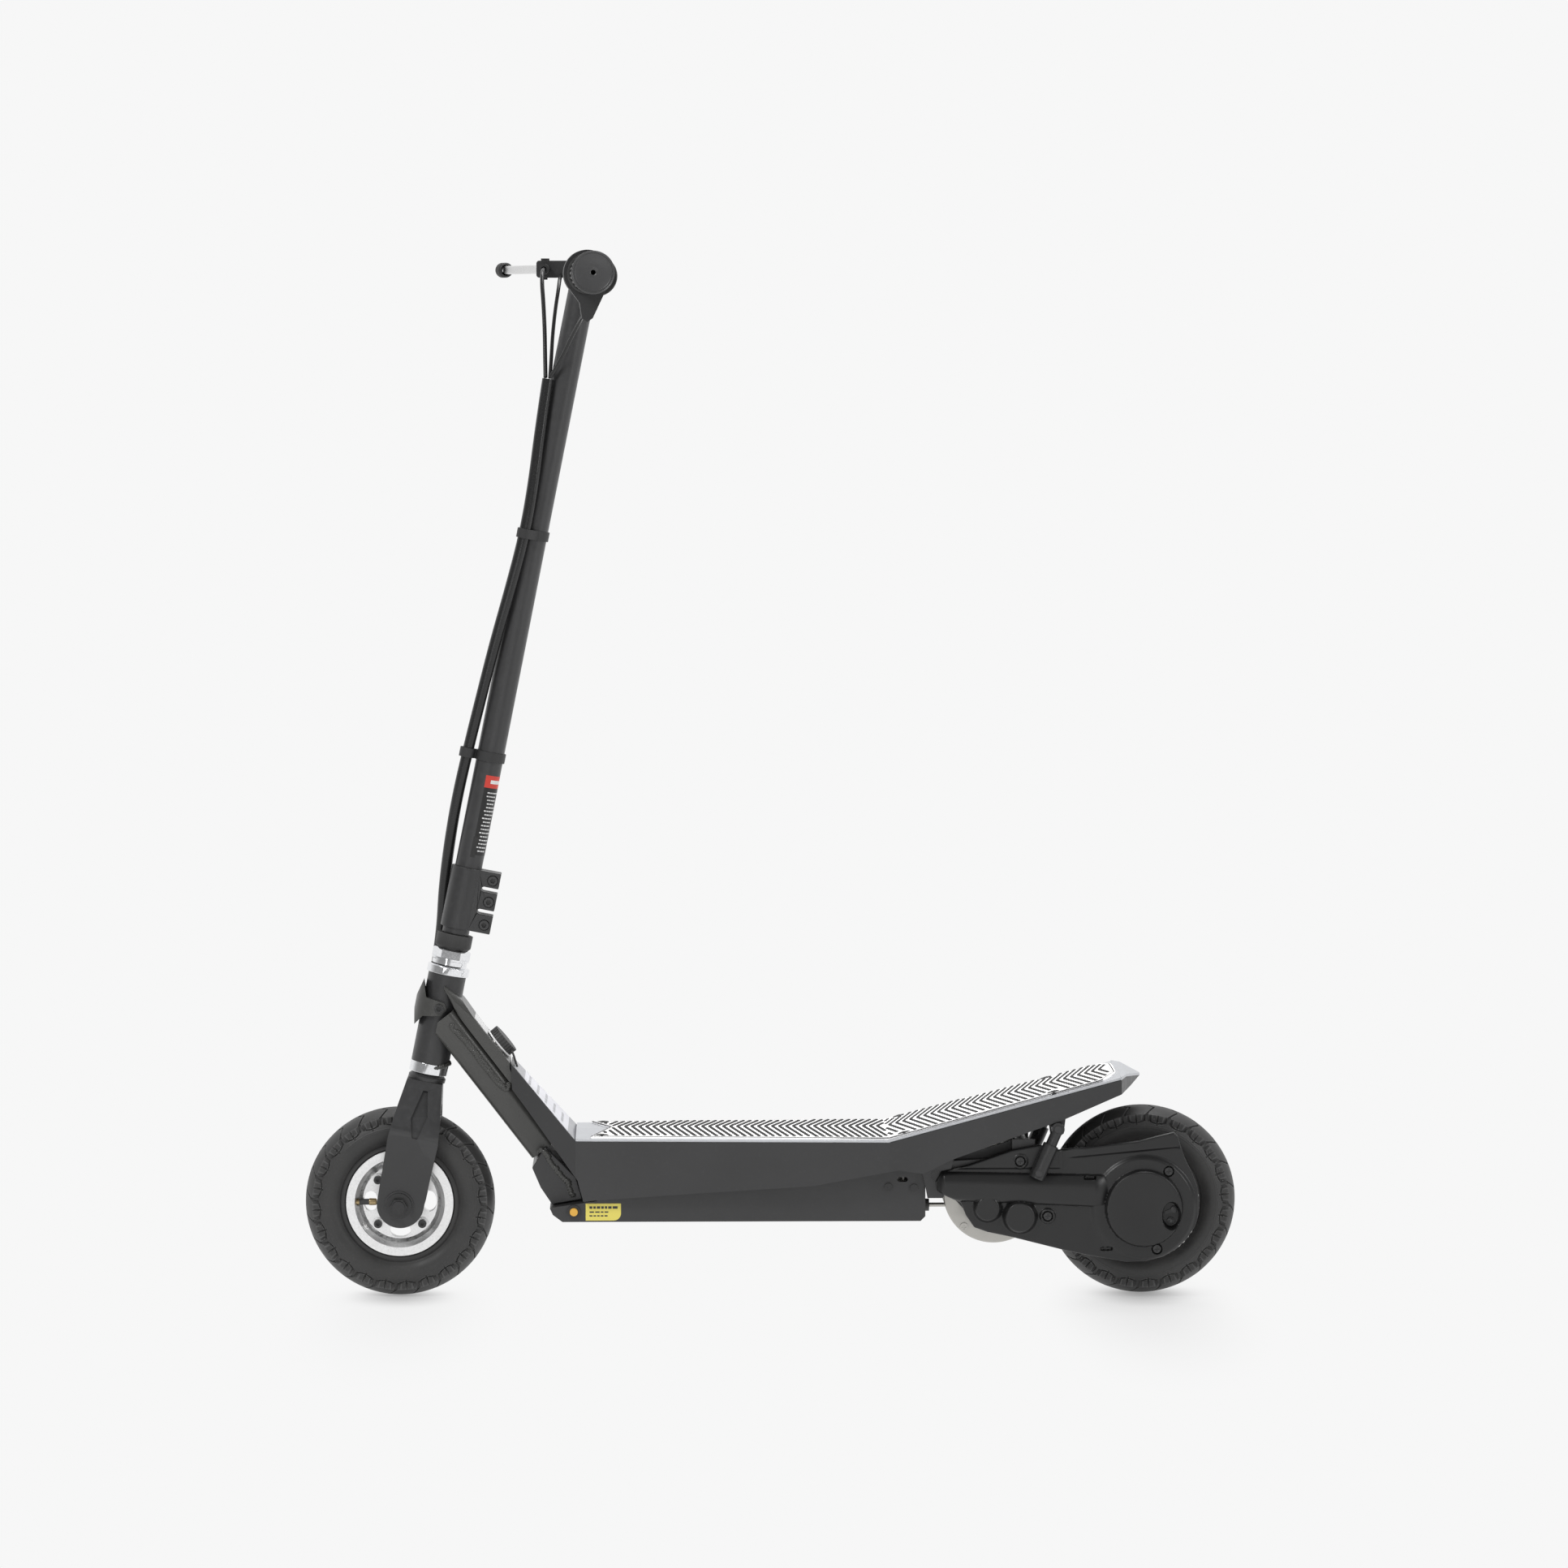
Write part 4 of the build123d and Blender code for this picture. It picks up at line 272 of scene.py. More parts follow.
def smooth(mesh, angle):
    mesh.shade_smooth()
    mesh.set_sharp_from_angle(angle=math.radians(angle))


def new_object(name, data):
    obj = bpy.data.objects.new(name, data)
    bpy.context.scene.collection.objects.link(obj)
    return obj


def piece(name, solid, material, body, stands_for=(), angle=35.0):
    """Mesh piece of the object, riding on a body."""
    mesh = bpy.data.meshes.new(name)
    mesh.from_pydata([tuple(v) for v in solid.verts], [], solid.faces)
    mesh.validate()
    mesh.update()
    smooth(mesh, angle)
    mesh.materials.append(MATERIALS[material])
    obj = new_object(name, mesh)
    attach(obj, body)
    if stands_for:
        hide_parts(*stands_for)
    return obj


class Solid:
    """Collects the vertices and faces of one piece."""

    def __init__(self):
        self.verts = []
        self.faces = []

    def grid(self, rows, close_u=False, close_v=False, cap=False):
        """Skin over rows of points. close_v closes each row, close_u joins the last row to the first."""
        start, count, wide = len(self.verts), len(rows), len(rows[0])
        for row in rows:
            self.verts.extend(row)
        for i in range(count if close_u else count - 1):
            for j in range(wide if close_v else wide - 1):
                a, b = start + i * wide, start + ((i + 1) % count) * wide
                k = (j + 1) % wide
                self.faces.append((a + j, b + j, b + k, a + k))
        if cap:
            self.faces.append(tuple(start + j for j in range(wide)))
            last = start + (count - 1) * wide
            self.faces.append(tuple(last + j for j in reversed(range(wide))))

    def prism(self, outline, low, high, place):
        """Outline of (a, b) pairs between two heights, put in space by place(a, b, height)."""
        rows = [[place(a, b, h) for a, b in outline] for h in (low, high)]
        self.grid(rows, close_v=True, cap=True)

    def lathe(self, profile, origin, axis, steps):
        """Profile of (radius, height) pairs turned about an axis."""
        axis = Vector(axis).normalized()
        side = axis.orthogonal().normalized()
        other = axis.cross(side)
        rows = []
        for k in range(steps):
            angle = 2 * math.pi * k / steps
            out = side * math.cos(angle) + other * math.sin(angle)
            rows.append([Vector(origin) + out * r + axis * h for r, h in profile])
        self.grid(rows, close_u=True, close_v=True)


def along(points, step):
    """Points spaced evenly along a polyline that is rounded once at its corners."""
    path = [Vector(p) for p in points]
    for _ in range(3):
        cut = [path[0]]
        for a, b in zip(path, path[1:]):
            cut += [a.lerp(b, 0.25), a.lerp(b, 0.75)]
        path = cut + [path[-1]]
    lengths = [0.0]
    for a, b in zip(path, path[1:]):
        lengths.append(lengths[-1] + (b - a).length)
    count = max(2, int(lengths[-1] / step))
    result, i = [], 0
    for k in range(count + 1):
        target = lengths[-1] * k / count
        while i < len(path) - 2 and lengths[i + 1] < target:
            i += 1
        span = max(1e-9, lengths[i + 1] - lengths[i])
        result.append(path[i].lerp(path[i + 1], min(1.0, (target - lengths[i]) / span)))
    return result


# ------------------------ tyres, millimetres
TYRE_R, TREAD_BLOCKS, GROOVE = 100, 24, 1.5
SHOULDER, TREAD_END = 21.0, 32.5
INNER_SKIN = [(-8.0, 50.2), (-16.5, 66.0), (-17.5, 78.0), (-11.0, 89.5), (0.0, 93.5)]
SIDE_RINGS = ((61.0, 0.35), (63.5, 0.25), (78.5, 0.35), (80.3, 0.3))


def tyre_arc(centre, radius, start, end, count):
    """Points on an arc as (across, radius), with its angles in degrees."""
    points = []
    for k in range(count + 1):
        t = math.radians(start) + math.radians(end - start) * k / count
        points.append((centre[0] + radius * math.cos(t), centre[1] + radius * math.sin(t)))
    return points


def tyre_profile():
    """Outer skin from bead to bead as (across, radius)."""
    bead = [(15.9, 50.2), (15.9, 56.9), (17.6, 58.2)]
    side = tyre_arc((8.2, 76.0), 16.5, -62, 38, 56)
    crown = tyre_arc((0.0, 64.6), 35.3, 51.5, 90, 46)
    half = bead + side[2:-1] + crown
    return half + [(-a, r) for a, r in reversed(half[:-1])]


def outward(profile):
    """Unit normals of a closed profile."""
    normals = []
    for k in range(len(profile)):
        before, after = profile[k - 1], profile[(k + 1) % len(profile)]
        dx, dr = after[0] - before[0], after[1] - before[1]
        size = math.hypot(dx, dr)
        normals.append((dr / size, -dx / size))
    return normals


def tread_depth(turn, across, radius):
    """Groove depth at a place on the tyre, from 0 to 1: a zigzag, slanted grooves and side scallops."""
    pitch = 2 * math.pi * TYRE_R / TREAD_BLOCKS
    lateral = abs(across) + max(0.0, 92.0 - radius) * 0.9
    if lateral > TREAD_END:
        return 0.0
    around = turn * TYRE_R + (0.0 if across > 0 else pitch / 2)
    middle = 5.0 * math.sin(lateral / 8.0 * math.pi)
    if lateral > 8.0:
        middle = 8.0 * ((lateral - 8.0) / (SHOULDER - 8.0)) ** 1.3
    best = abs(across - 2.2 * math.sin(turn * TREAD_BLOCKS)) + 0.1
    for k in (-1, 0, 1, 2):
        centre = (math.floor(around / pitch) + k) * pitch
        if lateral < SHOULDER:
            best = min(best, abs(around - centre - middle) * 0.88)
            continue
        off = around - centre - pitch / 2 - 8.0
        scallop = abs(math.hypot(off * 0.72, lateral - SHOULDER) - 9.2)
        notch = abs(off) * 0.8 + 0.25 + max(0.0, 23.5 - lateral)
        best = min(best, scallop, notch)
    t = min(1.0, max(0.0, (1.05 - best) / 0.5))
    return t * t * (3 - 2 * t)


def side_rise(across, radius):
    """Height of the fine rings moulded on the side wall."""
    if not (57.5 < radius < 82 and abs(across) > 15):
        return 0.0
    return sum(rise * max(0.0, 1 - abs(radius - ring) / 0.8) for ring, rise in SIDE_RINGS)


def add_moulding_nubs(solid, x, steps):
    """Short whiskers of rubber that the mould's vents leave on both side walls."""
    rng = random.Random(7)
    nubs = {(rng.randrange(steps), side) for side in (-1, 1) for _ in range(16)}
    nub = [(0.0, -0.001), (0.0007, -0.001), (0.0007, 0.0006), (0.0, 0.0011)]
    for step, side in nubs:
        turn = 2 * math.pi * step / steps
        centre = Vector((x + 0.088 * math.cos(turn), side * 0.0215, AXLE_Z + 0.088 * math.sin(turn)))
        solid.lathe(nub, centre, (0, side, 0), 8)


def make_tyre(name, x, body, node):
    outer = tyre_profile()
    normals = outward(outer)
    inner = INNER_SKIN + [(-a, r) for a, r in reversed(INNER_SKIN[:-1])]
    steps = 960
    cell = steps // TREAD_BLOCKS
    relief = []
    for k in range(cell):
        turn = 2 * math.pi * k / steps
        relief.append([GROOVE * tread_depth(turn, a, r) if r > 76 else 0.0 for a, r in outer])
    rises = [side_rise(a, r) for a, r in outer]
    rows = []
    for k in range(steps):
        turn = 2 * math.pi * k / steps
        c, s = math.cos(turn), math.sin(turn)
        ring = []
        for (a, r), n, rise, depth in zip(outer, normals, rises, relief[k % cell]):
            d = rise - depth
            ring.append((a + d * n[0], r + d * n[1]))
        ring += inner
        rows.append([Vector((x + r * MM * c, a * MM, AXLE_Z + r * MM * s)) for a, r in ring])
    solid = Solid()
    solid.grid(rows, close_u=True, close_v=True)
    add_moulding_nubs(solid, x, steps)
    piece(name, solid, "tyre", body, (node,), 30.0)


make_tyre("front_tyre_tread", FRONT_X, "front_wheel", "front_tyre")
make_tyre("rear_tyre_tread", REAR_X, "rear_wheel", "rear_tyre")


# ------------------------ drive chain
MOTOR_X, MOTOR_Z, CHAIN_Y, PITCH = 0.234, 0.111, -0.044, 0.00635
SMALL_R = PITCH / 2 / math.sin(math.pi / 11)
LARGE_R = PITCH / 2 / math.sin(math.pi / 55)


def chain_path():
    """Closed run of the chain's pitch line, as points a link apart."""
    span = math.hypot(REAR_X - MOTOR_X, AXLE_Z - MOTOR_Z)
    lean = math.atan2(AXLE_Z - MOTOR_Z, REAR_X - MOTOR_X)
    flare = math.pi / 2 + math.asin((LARGE_R - SMALL_R) / span)
    motor, wheel = Vector((MOTOR_X, MOTOR_Z)), Vector((REAR_X, AXLE_Z))

    def ring(centre, radius, a, b, count=200):
        turns = [a + (b - a) * k / count for k in range(count + 1)]
        return [centre + Vector((math.cos(t), math.sin(t))) * radius for t in turns]

    path = ring(wheel, LARGE_R, lean + flare, lean - flare)
    path += ring(motor, SMALL_R, lean - flare, lean + flare - 2 * math.pi)
    path.append(path[0])
    length = sum((b - a).length for a, b in zip(path, path[1:]))
    links = 2 * round(length / PITCH / 2)
    points, travelled, i = [], 0.0, 0
    for k in range(links):
        target = length * k / links
        while travelled + (path[i + 1] - path[i]).length < target:
            travelled += (path[i + 1] - path[i]).length
            i += 1
        size = (path[i + 1] - path[i]).length
        points.append(path[i].lerp(path[i + 1], (target - travelled) / size))
    return points


def make_chain():
    points = chain_path()
    solid = Solid()
    for k, a in enumerate(points):
        b = points[(k + 1) % len(points)]
        run = (b - a).normalized()
        up = Vector((-run.y, run.x))
        long = (b - a).length
        outline = []
        for centre, start, waist in ((long, -90, 0.0021), (0.0, 90, -0.0021)):
            for j in range(7):
                t = math.radians(start + 30 * j)
                outline.append((centre + 0.0028 * math.cos(t), 0.0028 * math.sin(t)))
            outline.append((long / 2, waist))

        def place(p, q, h, a=a, run=run, up=up):
            spot = a + run * p + up * q
            return Vector((spot.x, CHAIN_Y + h, spot.y))

        inner = 0.0017 if k % 2 else 0.0025
        for low in (-inner - 0.0007, inner):
            solid.prism(outline, low, low + 0.0007, place)
        solid.lathe(
            [(0.0, -0.0036), (0.0011, -0.0036), (0.0011, 0.0036), (0.0, 0.0036)],
            (a.x, CHAIN_Y, a.y), (0, 1, 0), 10,
        )
        solid.lathe(
            [(0.0012, -0.0016), (0.00165, -0.0016), (0.00165, 0.0016), (0.0012, 0.0016)],
            (a.x, CHAIN_Y, a.y), (0, 1, 0), 12,
        )
    replaced = ("drive_chain",)
    piece("chain_links", solid, "bright_steel", "swingarm", replaced, 30.0)


make_chain()


# ------------------------ deck mat
CROWN, RIDGE_HALF, MAT_TOP = 0.0035, 0.095, 0.0032


def half_width(x):
    """Half the deck's width at a place along it."""
    if x < KINK_X:
        return FOLD_HALF + (KINK_HALF - FOLD_HALF) * (x - FOLD_X) / (KINK_X - FOLD_X)
    return KINK_HALF + (TAIL_HALF - KINK_HALF) * (x - KINK_X) / (TAIL_X - KINK_X)


def on_mat(x, y, lift=0.0):
    """Point on the mat's top surface."""
    ridge = CROWN * (1 - abs(y) / RIDGE_HALF)
    rise = max(0.0, x - KINK_X)
    up = Vector((-math.sin(TAIL_ANGLE), 0, math.cos(TAIL_ANGLE))) if rise else Vector((0, 0, 1))
    base = Vector((x, y, DECK_Z + 0.0001 + rise * math.tan(TAIL_ANGLE)))
    return base + up * (MAT_TOP + ridge + lift)


def mat_front(y):
    """The mat's front edge runs back to a point on the centre line."""
    return FOLD_X + 0.016 + 0.0208 * (1 - abs(y) / (FOLD_HALF - 0.005))


def mat_back(y):
    """The mat's back edge, with its corners cut."""
    side = TAIL_HALF - 0.009
    return TAIL_X - 0.004 - max(0.0, abs(y) - (side - 0.027)) * 0.55


def on_the_mat(x, y, margin):
    """Whether a place lies on the mat, away from its edges by the margin."""
    if abs(y) > half_width(x) - 0.009 - margin:
        return False
    return mat_front(y) + margin < x < mat_back(y) - margin


SCREWS = [(x, s * (half_width(x) - 0.017)) for x in (-0.178, 0.139, 0.296) for s in (-1, 1)]


def make_studs():
    """Rows of long low studs that run back from the centre line in shallow chevrons."""
    pitch, gap, slope = 0.0074, 0.0078, 0.245
    half_long, half_wide = 0.0033, 0.0017
    solid = Solid()
    for row in range(0, 84):
        for side in (-1, 1):
            for column in range(10):
                y = side * (0.0042 + column * gap)
                x = FOLD_X + row * pitch + abs(y) * slope
                if not on_the_mat(x, y, 0.0052) or abs(x - KINK_X) < 0.0022:
                    continue
                if any(math.hypot(x - sx, y - sy) < 0.0108 for sx, sy in SCREWS):
                    continue
                rows = []
                for shrink, lift in ((0.0, -0.0006), (0.0, 0.0006), (0.0005, 0.0011)):
                    ring = []
                    for k in range(12):
                        t = 2 * math.pi * k / 12
                        reach = (half_long - half_wide) * (1 if math.sin(t) > 0 else -1)
                        v = reach + (half_wide - shrink) * math.sin(t)
                        u = (half_wide - shrink) * math.cos(t) + abs(y + v) * slope - abs(y) * slope
                        ring.append(on_mat(x + u, y + v, lift))
                    rows.append(ring)
                solid.grid(rows, close_v=True, cap=True)
    piece("mat_studs", solid, "stud_black", "frame", (), 40.0)


def mat_outline(inset):
    """The mat's outline, a little inside its edge."""
    first, last = FOLD_X + 0.018, TAIL_X - 0.02
    points = []
    for k in range(41):
        y = (FOLD_HALF - 0.006) * (2 * k / 40 - 1)
        points.append((mat_front(y) + inset, y * 0.985))
    for k in range(61):
        x = first + (last - first) * k / 60
        points.append((x, half_width(x) - 0.009 - inset))
    for k in range(41):
        y = (TAIL_HALF - 0.012) * (1 - 2 * k / 40)
        points.append((mat_back(y) - inset, y * 0.97))
    for k in range(61):
        x = last - (last - first) * k / 60
        points.append((x, -(half_width(x) - 0.009 - inset)))
    return points


def make_mat_border(name, inset, half, rise, material):
    """Bead that runs round the mat's edge."""
    points = mat_outline(inset)
    section = [(-1.0, -0.0004), (-0.7, rise * 0.7), (0.0, rise), (0.7, rise * 0.7), (1.0, -0.0004)]
    rows = []
    for k, (x, y) in enumerate(points):
        before, after = points[k - 1], points[(k + 1) % len(points)]
        run = Vector((after[0] - before[0], after[1] - before[1])).normalized() * half
        rows.append([on_mat(x + run.y * a, y - run.x * a, lift) for a, lift in section])
    solid = Solid()
    solid.grid(rows, close_u=True, close_v=True)
    piece(name, solid, material, "frame", (), 60.0)


def make_screw_wells():
    """Dark sunk rings round the six screws that hold the mat and the deck plate."""
    ring = [(0.0030, -0.0004), (0.0064, -0.0004), (0.0064, 0.0004), (0.0058, 0.0007), (0.0034, 0.0002)]
    solid = Solid()
    for x, y in SCREWS:
        up = (on_mat(x, y, 0.001) - on_mat(x, y)).normalized()
        solid.lathe(ring, on_mat(x, y), up, 32)
    piece("mat_screw_wells", solid, "stud_black", "frame", (), 40.0)


make_studs()
make_mat_border("mat_border", 0.0024, 0.0009, 0.0007, "white_ring")
make_mat_border("mat_border_gap", 0.0002, 0.0008, 0.0003, "stud_black")
make_screw_wells()


# ------------------------ chain guard, millimetres
GUARD_LOWER = [
    (171, 127), (173, 118), (180, 114), (198, 105), (203, 92), (212, 79), (226, 74), (252, 68.5),
    (305, 55), (330, 49.5), (352, 45.5), (372, 42), (392, 42.5), (410, 47), (424, 55),
    (436, 66.5), (444.5, 80), (448, 92), (449, 104),
]
GUARD_UPPER = [
    (171, 127), (177, 138.5), (205, 145), (252, 161), (281, 166), (301, 161), (340, 165), (384, 170.5),
    (410, 177), (421, 179.5), (425, 176), (428, 166), (433, 152), (440, 138), (446, 122), (449, 104),
]
GUARD_FRONT, GUARD_BACK = 171.3, 448.6
GUARD_HUB = (390.0, 99.5)


def edge_at(outline, x):
    for (xa, za), (xb, zb) in zip(outline, outline[1:]):
        if xa <= x <= xb:
            return za + (zb - za) * (x - xa) / max(1e-6, xb - xa)
    return outline[-1][1]


def soft_step(low, high, value):
    t = min(1.0, max(0.0, (value - low) / (high - low)))
    return t * t * (3 - 2 * t)


def guard_height(x, z):
    """How far the guard's face stands out over its base plane."""
    hub = math.hypot(x - GUARD_HUB[0], z - GUARD_HUB[1])
    height = 0.0
    axis = 123.5 - (x - 172) * 0.035
    half = 15.0 + (x - 172) * 0.012
    inside = 1 - ((z - axis) / half) ** 2
    if inside > 0:
        height = 8.5 * inside ** 0.42 * soft_step(171, 181, x) * (1 - soft_step(338, 362, x))
    height = max(height, 3.2 * (1 - soft_step(51, 56.5, hub)))
    height = max(height, 10.5 * (1 - soft_step(38.5, 42.5, hub)) - 0.6 * (1 - soft_step(0, 36, hub)))
    for bx, bz, radius, rise in ((226, 99.5, 15.5, 6.5), (260, 90.5, 18.5, 8.0)):
        reach = math.hypot(x - bx, z - bz)
        height = max(height, rise * (1 - soft_step(radius - 4.5, radius + 1.0, reach)))
    ridge = 163 + (x - 300) * 0.095
    if x > 300 and hub > 56:
        height = max(height, 3.8 * soft_step(300, 330, x) * (1 - soft_step(6.0, 9.0, ridge - 4 - z)))
    plate = 1.6 * (1 - soft_step(300, 306, x)) * soft_step(140, 143, z)
    height = max(height, plate)
    for sx, sz in ((416, 138), (404, 56), (289, 91), (260, 149)):
        near = math.hypot(x - sx, z - sz)
        height = max(height, 2.4 * (1 - soft_step(7.4, 8.6, near)))
        height *= soft_step(4.9, 5.7, near)
    pit = math.hypot((x - 418.6) / 9.6, (z - 92.0) / 14.5)
    height = height * soft_step(0.86, 1.04, pit) - 2.0 * (1 - soft_step(0.86, 1.04, pit))
    for sx, sz in ((333.5, 131.5), (351, 56.0)):
        slot = max(abs(x - sx) / 5.6, abs(z - sz) / 1.6)
        height = height * soft_step(0.9, 1.15, slot) - 3.2 * (1 - soft_step(0.9, 1.15, slot))
    return height


def make_guard():
    """Moulded cover with a long rib, a round hub, two bulges, slots and a recess for the axle's nut."""
    columns, rows_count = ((420, 150))
    rim = [(0.0, 4.5), (0.0, 1.8), (0.35, 0.8), (1.0, 0.25), (2.0, 0.0)]
    rows = []
    for i in range(columns + 1):
        share = 0.5 * (1 - math.cos(math.pi * i / columns))
        x = GUARD_FRONT + (GUARD_BACK - GUARD_FRONT) * share
        low, high = edge_at(GUARD_LOWER, x), edge_at(GUARD_UPPER, x)
        inner_face = 66.0 if x < 192 else 63.6
        end = min(1.0, min(x - GUARD_FRONT, GUARD_BACK - x) / 2.5)
        outer = [(low + a, drop) for a, drop in rim]
        outer += [(low + 2 + (high - low - 4) * k / rows_count, 0.0) for k in range(1, rows_count)]
        outer += [(high - a, drop) for a, drop in reversed(rim)]
        row = []
        for z, drop in outer:
            face = 67.2 + guard_height(x, z) - drop
            face = inner_face + 0.4 + (face - inner_face - 0.4) * (0.35 + 0.65 * end)
            row.append(Vector((x * MM, -max(face, inner_face + 0.2) * MM, z * MM)))
        for k in range(8):
            z = high - (high - low) * (k + 0.5) / 8
            row.append(Vector((x * MM, -inner_face * MM, z * MM)))
        rows.append(row)
    solid = Solid()
    solid.grid(rows, close_v=True, cap=True)
    replaced = ("chain_guard",)
    cover = piece("chain_guard_cover", solid, "guard_black", "swingarm", replaced, 50.0)


def make_axle_adjuster():
    """Small nut, bolt and cam that stand in the guard's recess."""
    solid = Solid()
    nut, bolt = (0.4186, 0.0855), (0.4220, 0.0975)
    for (x, z), radius, tall, sides in (
        (nut, 0.0042, 0.0024, 6), (nut, 0.0022, 0.0036, 20), (bolt, 0.0036, 0.0020, 24),
    ):
        top = tall + 0.0003
        head = [(0.0, 0.0), (radius, 0.0), (radius, tall), (radius * 0.8, top), (0.0, top)]
        solid.lathe(head, (x, -0.0650, z), (0, -1, 0), sides)
    cam = [(0.4120, 0.0925), (0.4125, 0.0955), (0.4235, 0.1000), (0.4262, 0.0978), (0.4240, 0.0950)]
    solid.prism(cam, -0.0665, -0.0650, lambda a, b, h: Vector((a, h, b)))
    piece("axle_adjuster", solid, "black_steel", "swingarm", (), 30.0)


make_guard()
make_axle_adjuster()


# ------------------------ looms and cables
def cord_curve(name, points, radius, material, body, nodes_replaced=(), as_mesh=False):
    """Round cord along the points. A cord that stretches between two bodies has to be a mesh."""
    data = bpy.data.curves.new(name, "CURVE")
    data.dimensions = "3D"
    data.bevel_depth = radius
    data.bevel_resolution = 6
    data.resolution_u = 10
    data.use_fill_caps = True
    spline = data.splines.new("NURBS")
    spline.points.add(len(points) - 1)
    for spot, point in zip(spline.points, points):
        spot.co = (*point, 1.0)
    spline.order_u = 3
    spline.use_endpoint_u = True
    obj = new_object(name, data)
    if as_mesh:
        bpy.context.view_layer.update()
        solved = obj.evaluated_get(bpy.context.evaluated_depsgraph_get())
        mesh = bpy.data.meshes.new_from_object(solved)
        bpy.data.objects.remove(obj)
        obj = new_object(name, mesh)
        mesh.materials.clear()
        smooth(mesh, 60.0)
    obj.data.materials.append(MATERIALS[material])
    if body:
        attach(obj, body)
    if nodes_replaced:
        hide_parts(*nodes_replaced)
    return obj


STEM_ROUTE = [
    at_stem(-17, -13, 881), at_stem(-14.5, -16, 826), at_stem(-10.5, -18.8, 770), at_stem(-9.5, -19.4, 716),
    at_stem(-13, -17.6, 660), at_stem(-18, -13, 600), at_stem(-21, -9, 545), at_stem(-24, -4, 488),
    at_stem(-26, 2, 430), at_stem(-24.5, 9.5, 375), at_stem(-21, 15.5, 330), at_stem(-16, 21, 294),
]
FRAME_ROUTE = [
    at_stem(-14, 26.5, 262), at_stem(-12, 31, 229),
    Vector((-0.357, 0.0352, 0.3045)), Vector((-0.3493, 0.0371, 0.2772)), Vector((-0.331, 0.0375, 0.2534)),
    Vector((-0.3085, 0.0378, 0.2244)), Vector((-0.284, 0.0395, 0.1923)), Vector((-0.2645, 0.0438, 0.1665)),
    Vector((-0.2475, 0.0482, 0.1425)), Vector((-0.233, 0.0498, 0.1195)), Vector((-0.224, 0.0503, 0.098)),
]


def make_loom():
    """Loom down the stem and into the frame, made as one fixed mesh that rides on no body."""
    route, replaced = STEM_ROUTE + FRAME_ROUTE, ("stem_loom", "frame_loom")
    loom = cord_curve("wiring_loom", route, 0.0059, "cable_black", None, replaced, as_mesh=True)
    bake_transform(loom)


make_loom()


def bar_point(side, ahead, up, out):
    """Point by the bar in millimetres: side -1 near, 1 far; ahead of the bar, above it, out along it."""
    run = Vector((math.sin(SWEEP), side * math.cos(SWEEP), 0))
    fore = Vector((-math.cos(SWEEP), side * math.sin(SWEEP), 0))
    return Vector((BAR_X, side * BAR_Y, BAR_Z)) + (run * out + fore * ahead + Vector((0, 0, up))) * MM


TOP = at_stem(-17, -13, 881)


def make_control_cables():
    """Brake cable, switch wire and throttle wire, which meet in the loom's mouth."""
    brake = [
        bar_point(1, 46, 6, 36), bar_point(1, 46, 6, 14), Vector((-0.2405, 0.037, 1.069)),
        Vector((-0.2385, 0.023, 1.046)), Vector((-0.237, 0.009, 1.018)), Vector((-0.2365, -0.003, 0.992)),
        TOP + Vector((-0.0024, -0.0005, 0.0016)),
    ]
    switch = [
        bar_point(1, 29, -1, 43.9), Vector((-0.2215, 0.066, 1.075)), Vector((-0.223, 0.048, 1.062)),
        Vector((-0.2265, 0.033, 1.038)), Vector((-0.229, 0.018, 1.012)), Vector((-0.230, 0.004, 0.990)),
        TOP + Vector((0.0022, 0.0033, 0.0011)),
    ]
    throttle = [
        bar_point(-1, 3, -43, 37.5), Vector((-0.1962, -0.0575, 1.033)), Vector((-0.2002, -0.0425, 1.026)),
        Vector((-0.209, -0.0315, 1.010)), Vector((-0.2195, -0.0225, 0.987)),
        TOP + Vector((0.0026, -0.0024, 0.0015)),
    ]
    cord_curve("brake_cable", brake, 0.0022, "cable_black", "steering", ("control_cables",))
    cord_curve("switch_wire", switch, 0.0020, "cable_black", "steering")
    cord_curve("throttle_wire", throttle, 0.0020, "cable_black", "steering")


make_control_cables()


def make_bar_trim():
    """Smooth discs that close the grips' ends and the rubber sleeve over the lever's ball."""
    for side, tag in ((-1, "near"), (1, "far")):
        centre = bar_point(side, 0, 0, 196.2)
        run = bar_point(side, 0, 0, 1) - bar_point(side, 0, 0, 0)
        disc = Solid()
        disc.lathe(
            [(0.0026, -0.0006), (0.0200, -0.0006), (0.0200, 0.0002), (0.0214, 0.0002), (0.0219, 0.0010),
             (0.0211, 0.0017), (0.0203, 0.0012), (0.0197, 0.0012), (0.0192, 0.0017), (0.0186, 0.0012),
             (0.0181, 0.0009), (0.0060, 0.0013), (0.0036, 0.0012), (0.0026, 0.0006)],
            centre, run, 96,
        )
        piece(f"grip_disc_{tag}", disc, "disc_grey", "steering", (), 40.0)
    tip = bar_point(1, LEVER_AHEAD + 53.5, PERCH_UP, LEVER_OUT + 110)
    toward = (tip - bar_point(1, LEVER_AHEAD + 36, PERCH_UP, LEVER_OUT + 60)).normalized()
    sleeve = Solid()
    profile = [(0.0, 0.0083), (0.0035, 0.0078), (0.0062, 0.0058), (0.0079, 0.0026)]
    profile += [(0.0081 - 0.0004 * (k % 2), 0.0016 - 0.0016 * k) for k in range(9)]
    profile += [(0.0072, -0.0128), (0.0060, -0.0135), (0.0060, 0.0)]
    sleeve.lathe(profile, tip, toward, 40)
    piece("lever_sleeve", sleeve, "black_rubber", "brake_lever", (), 40.0)


make_bar_trim()


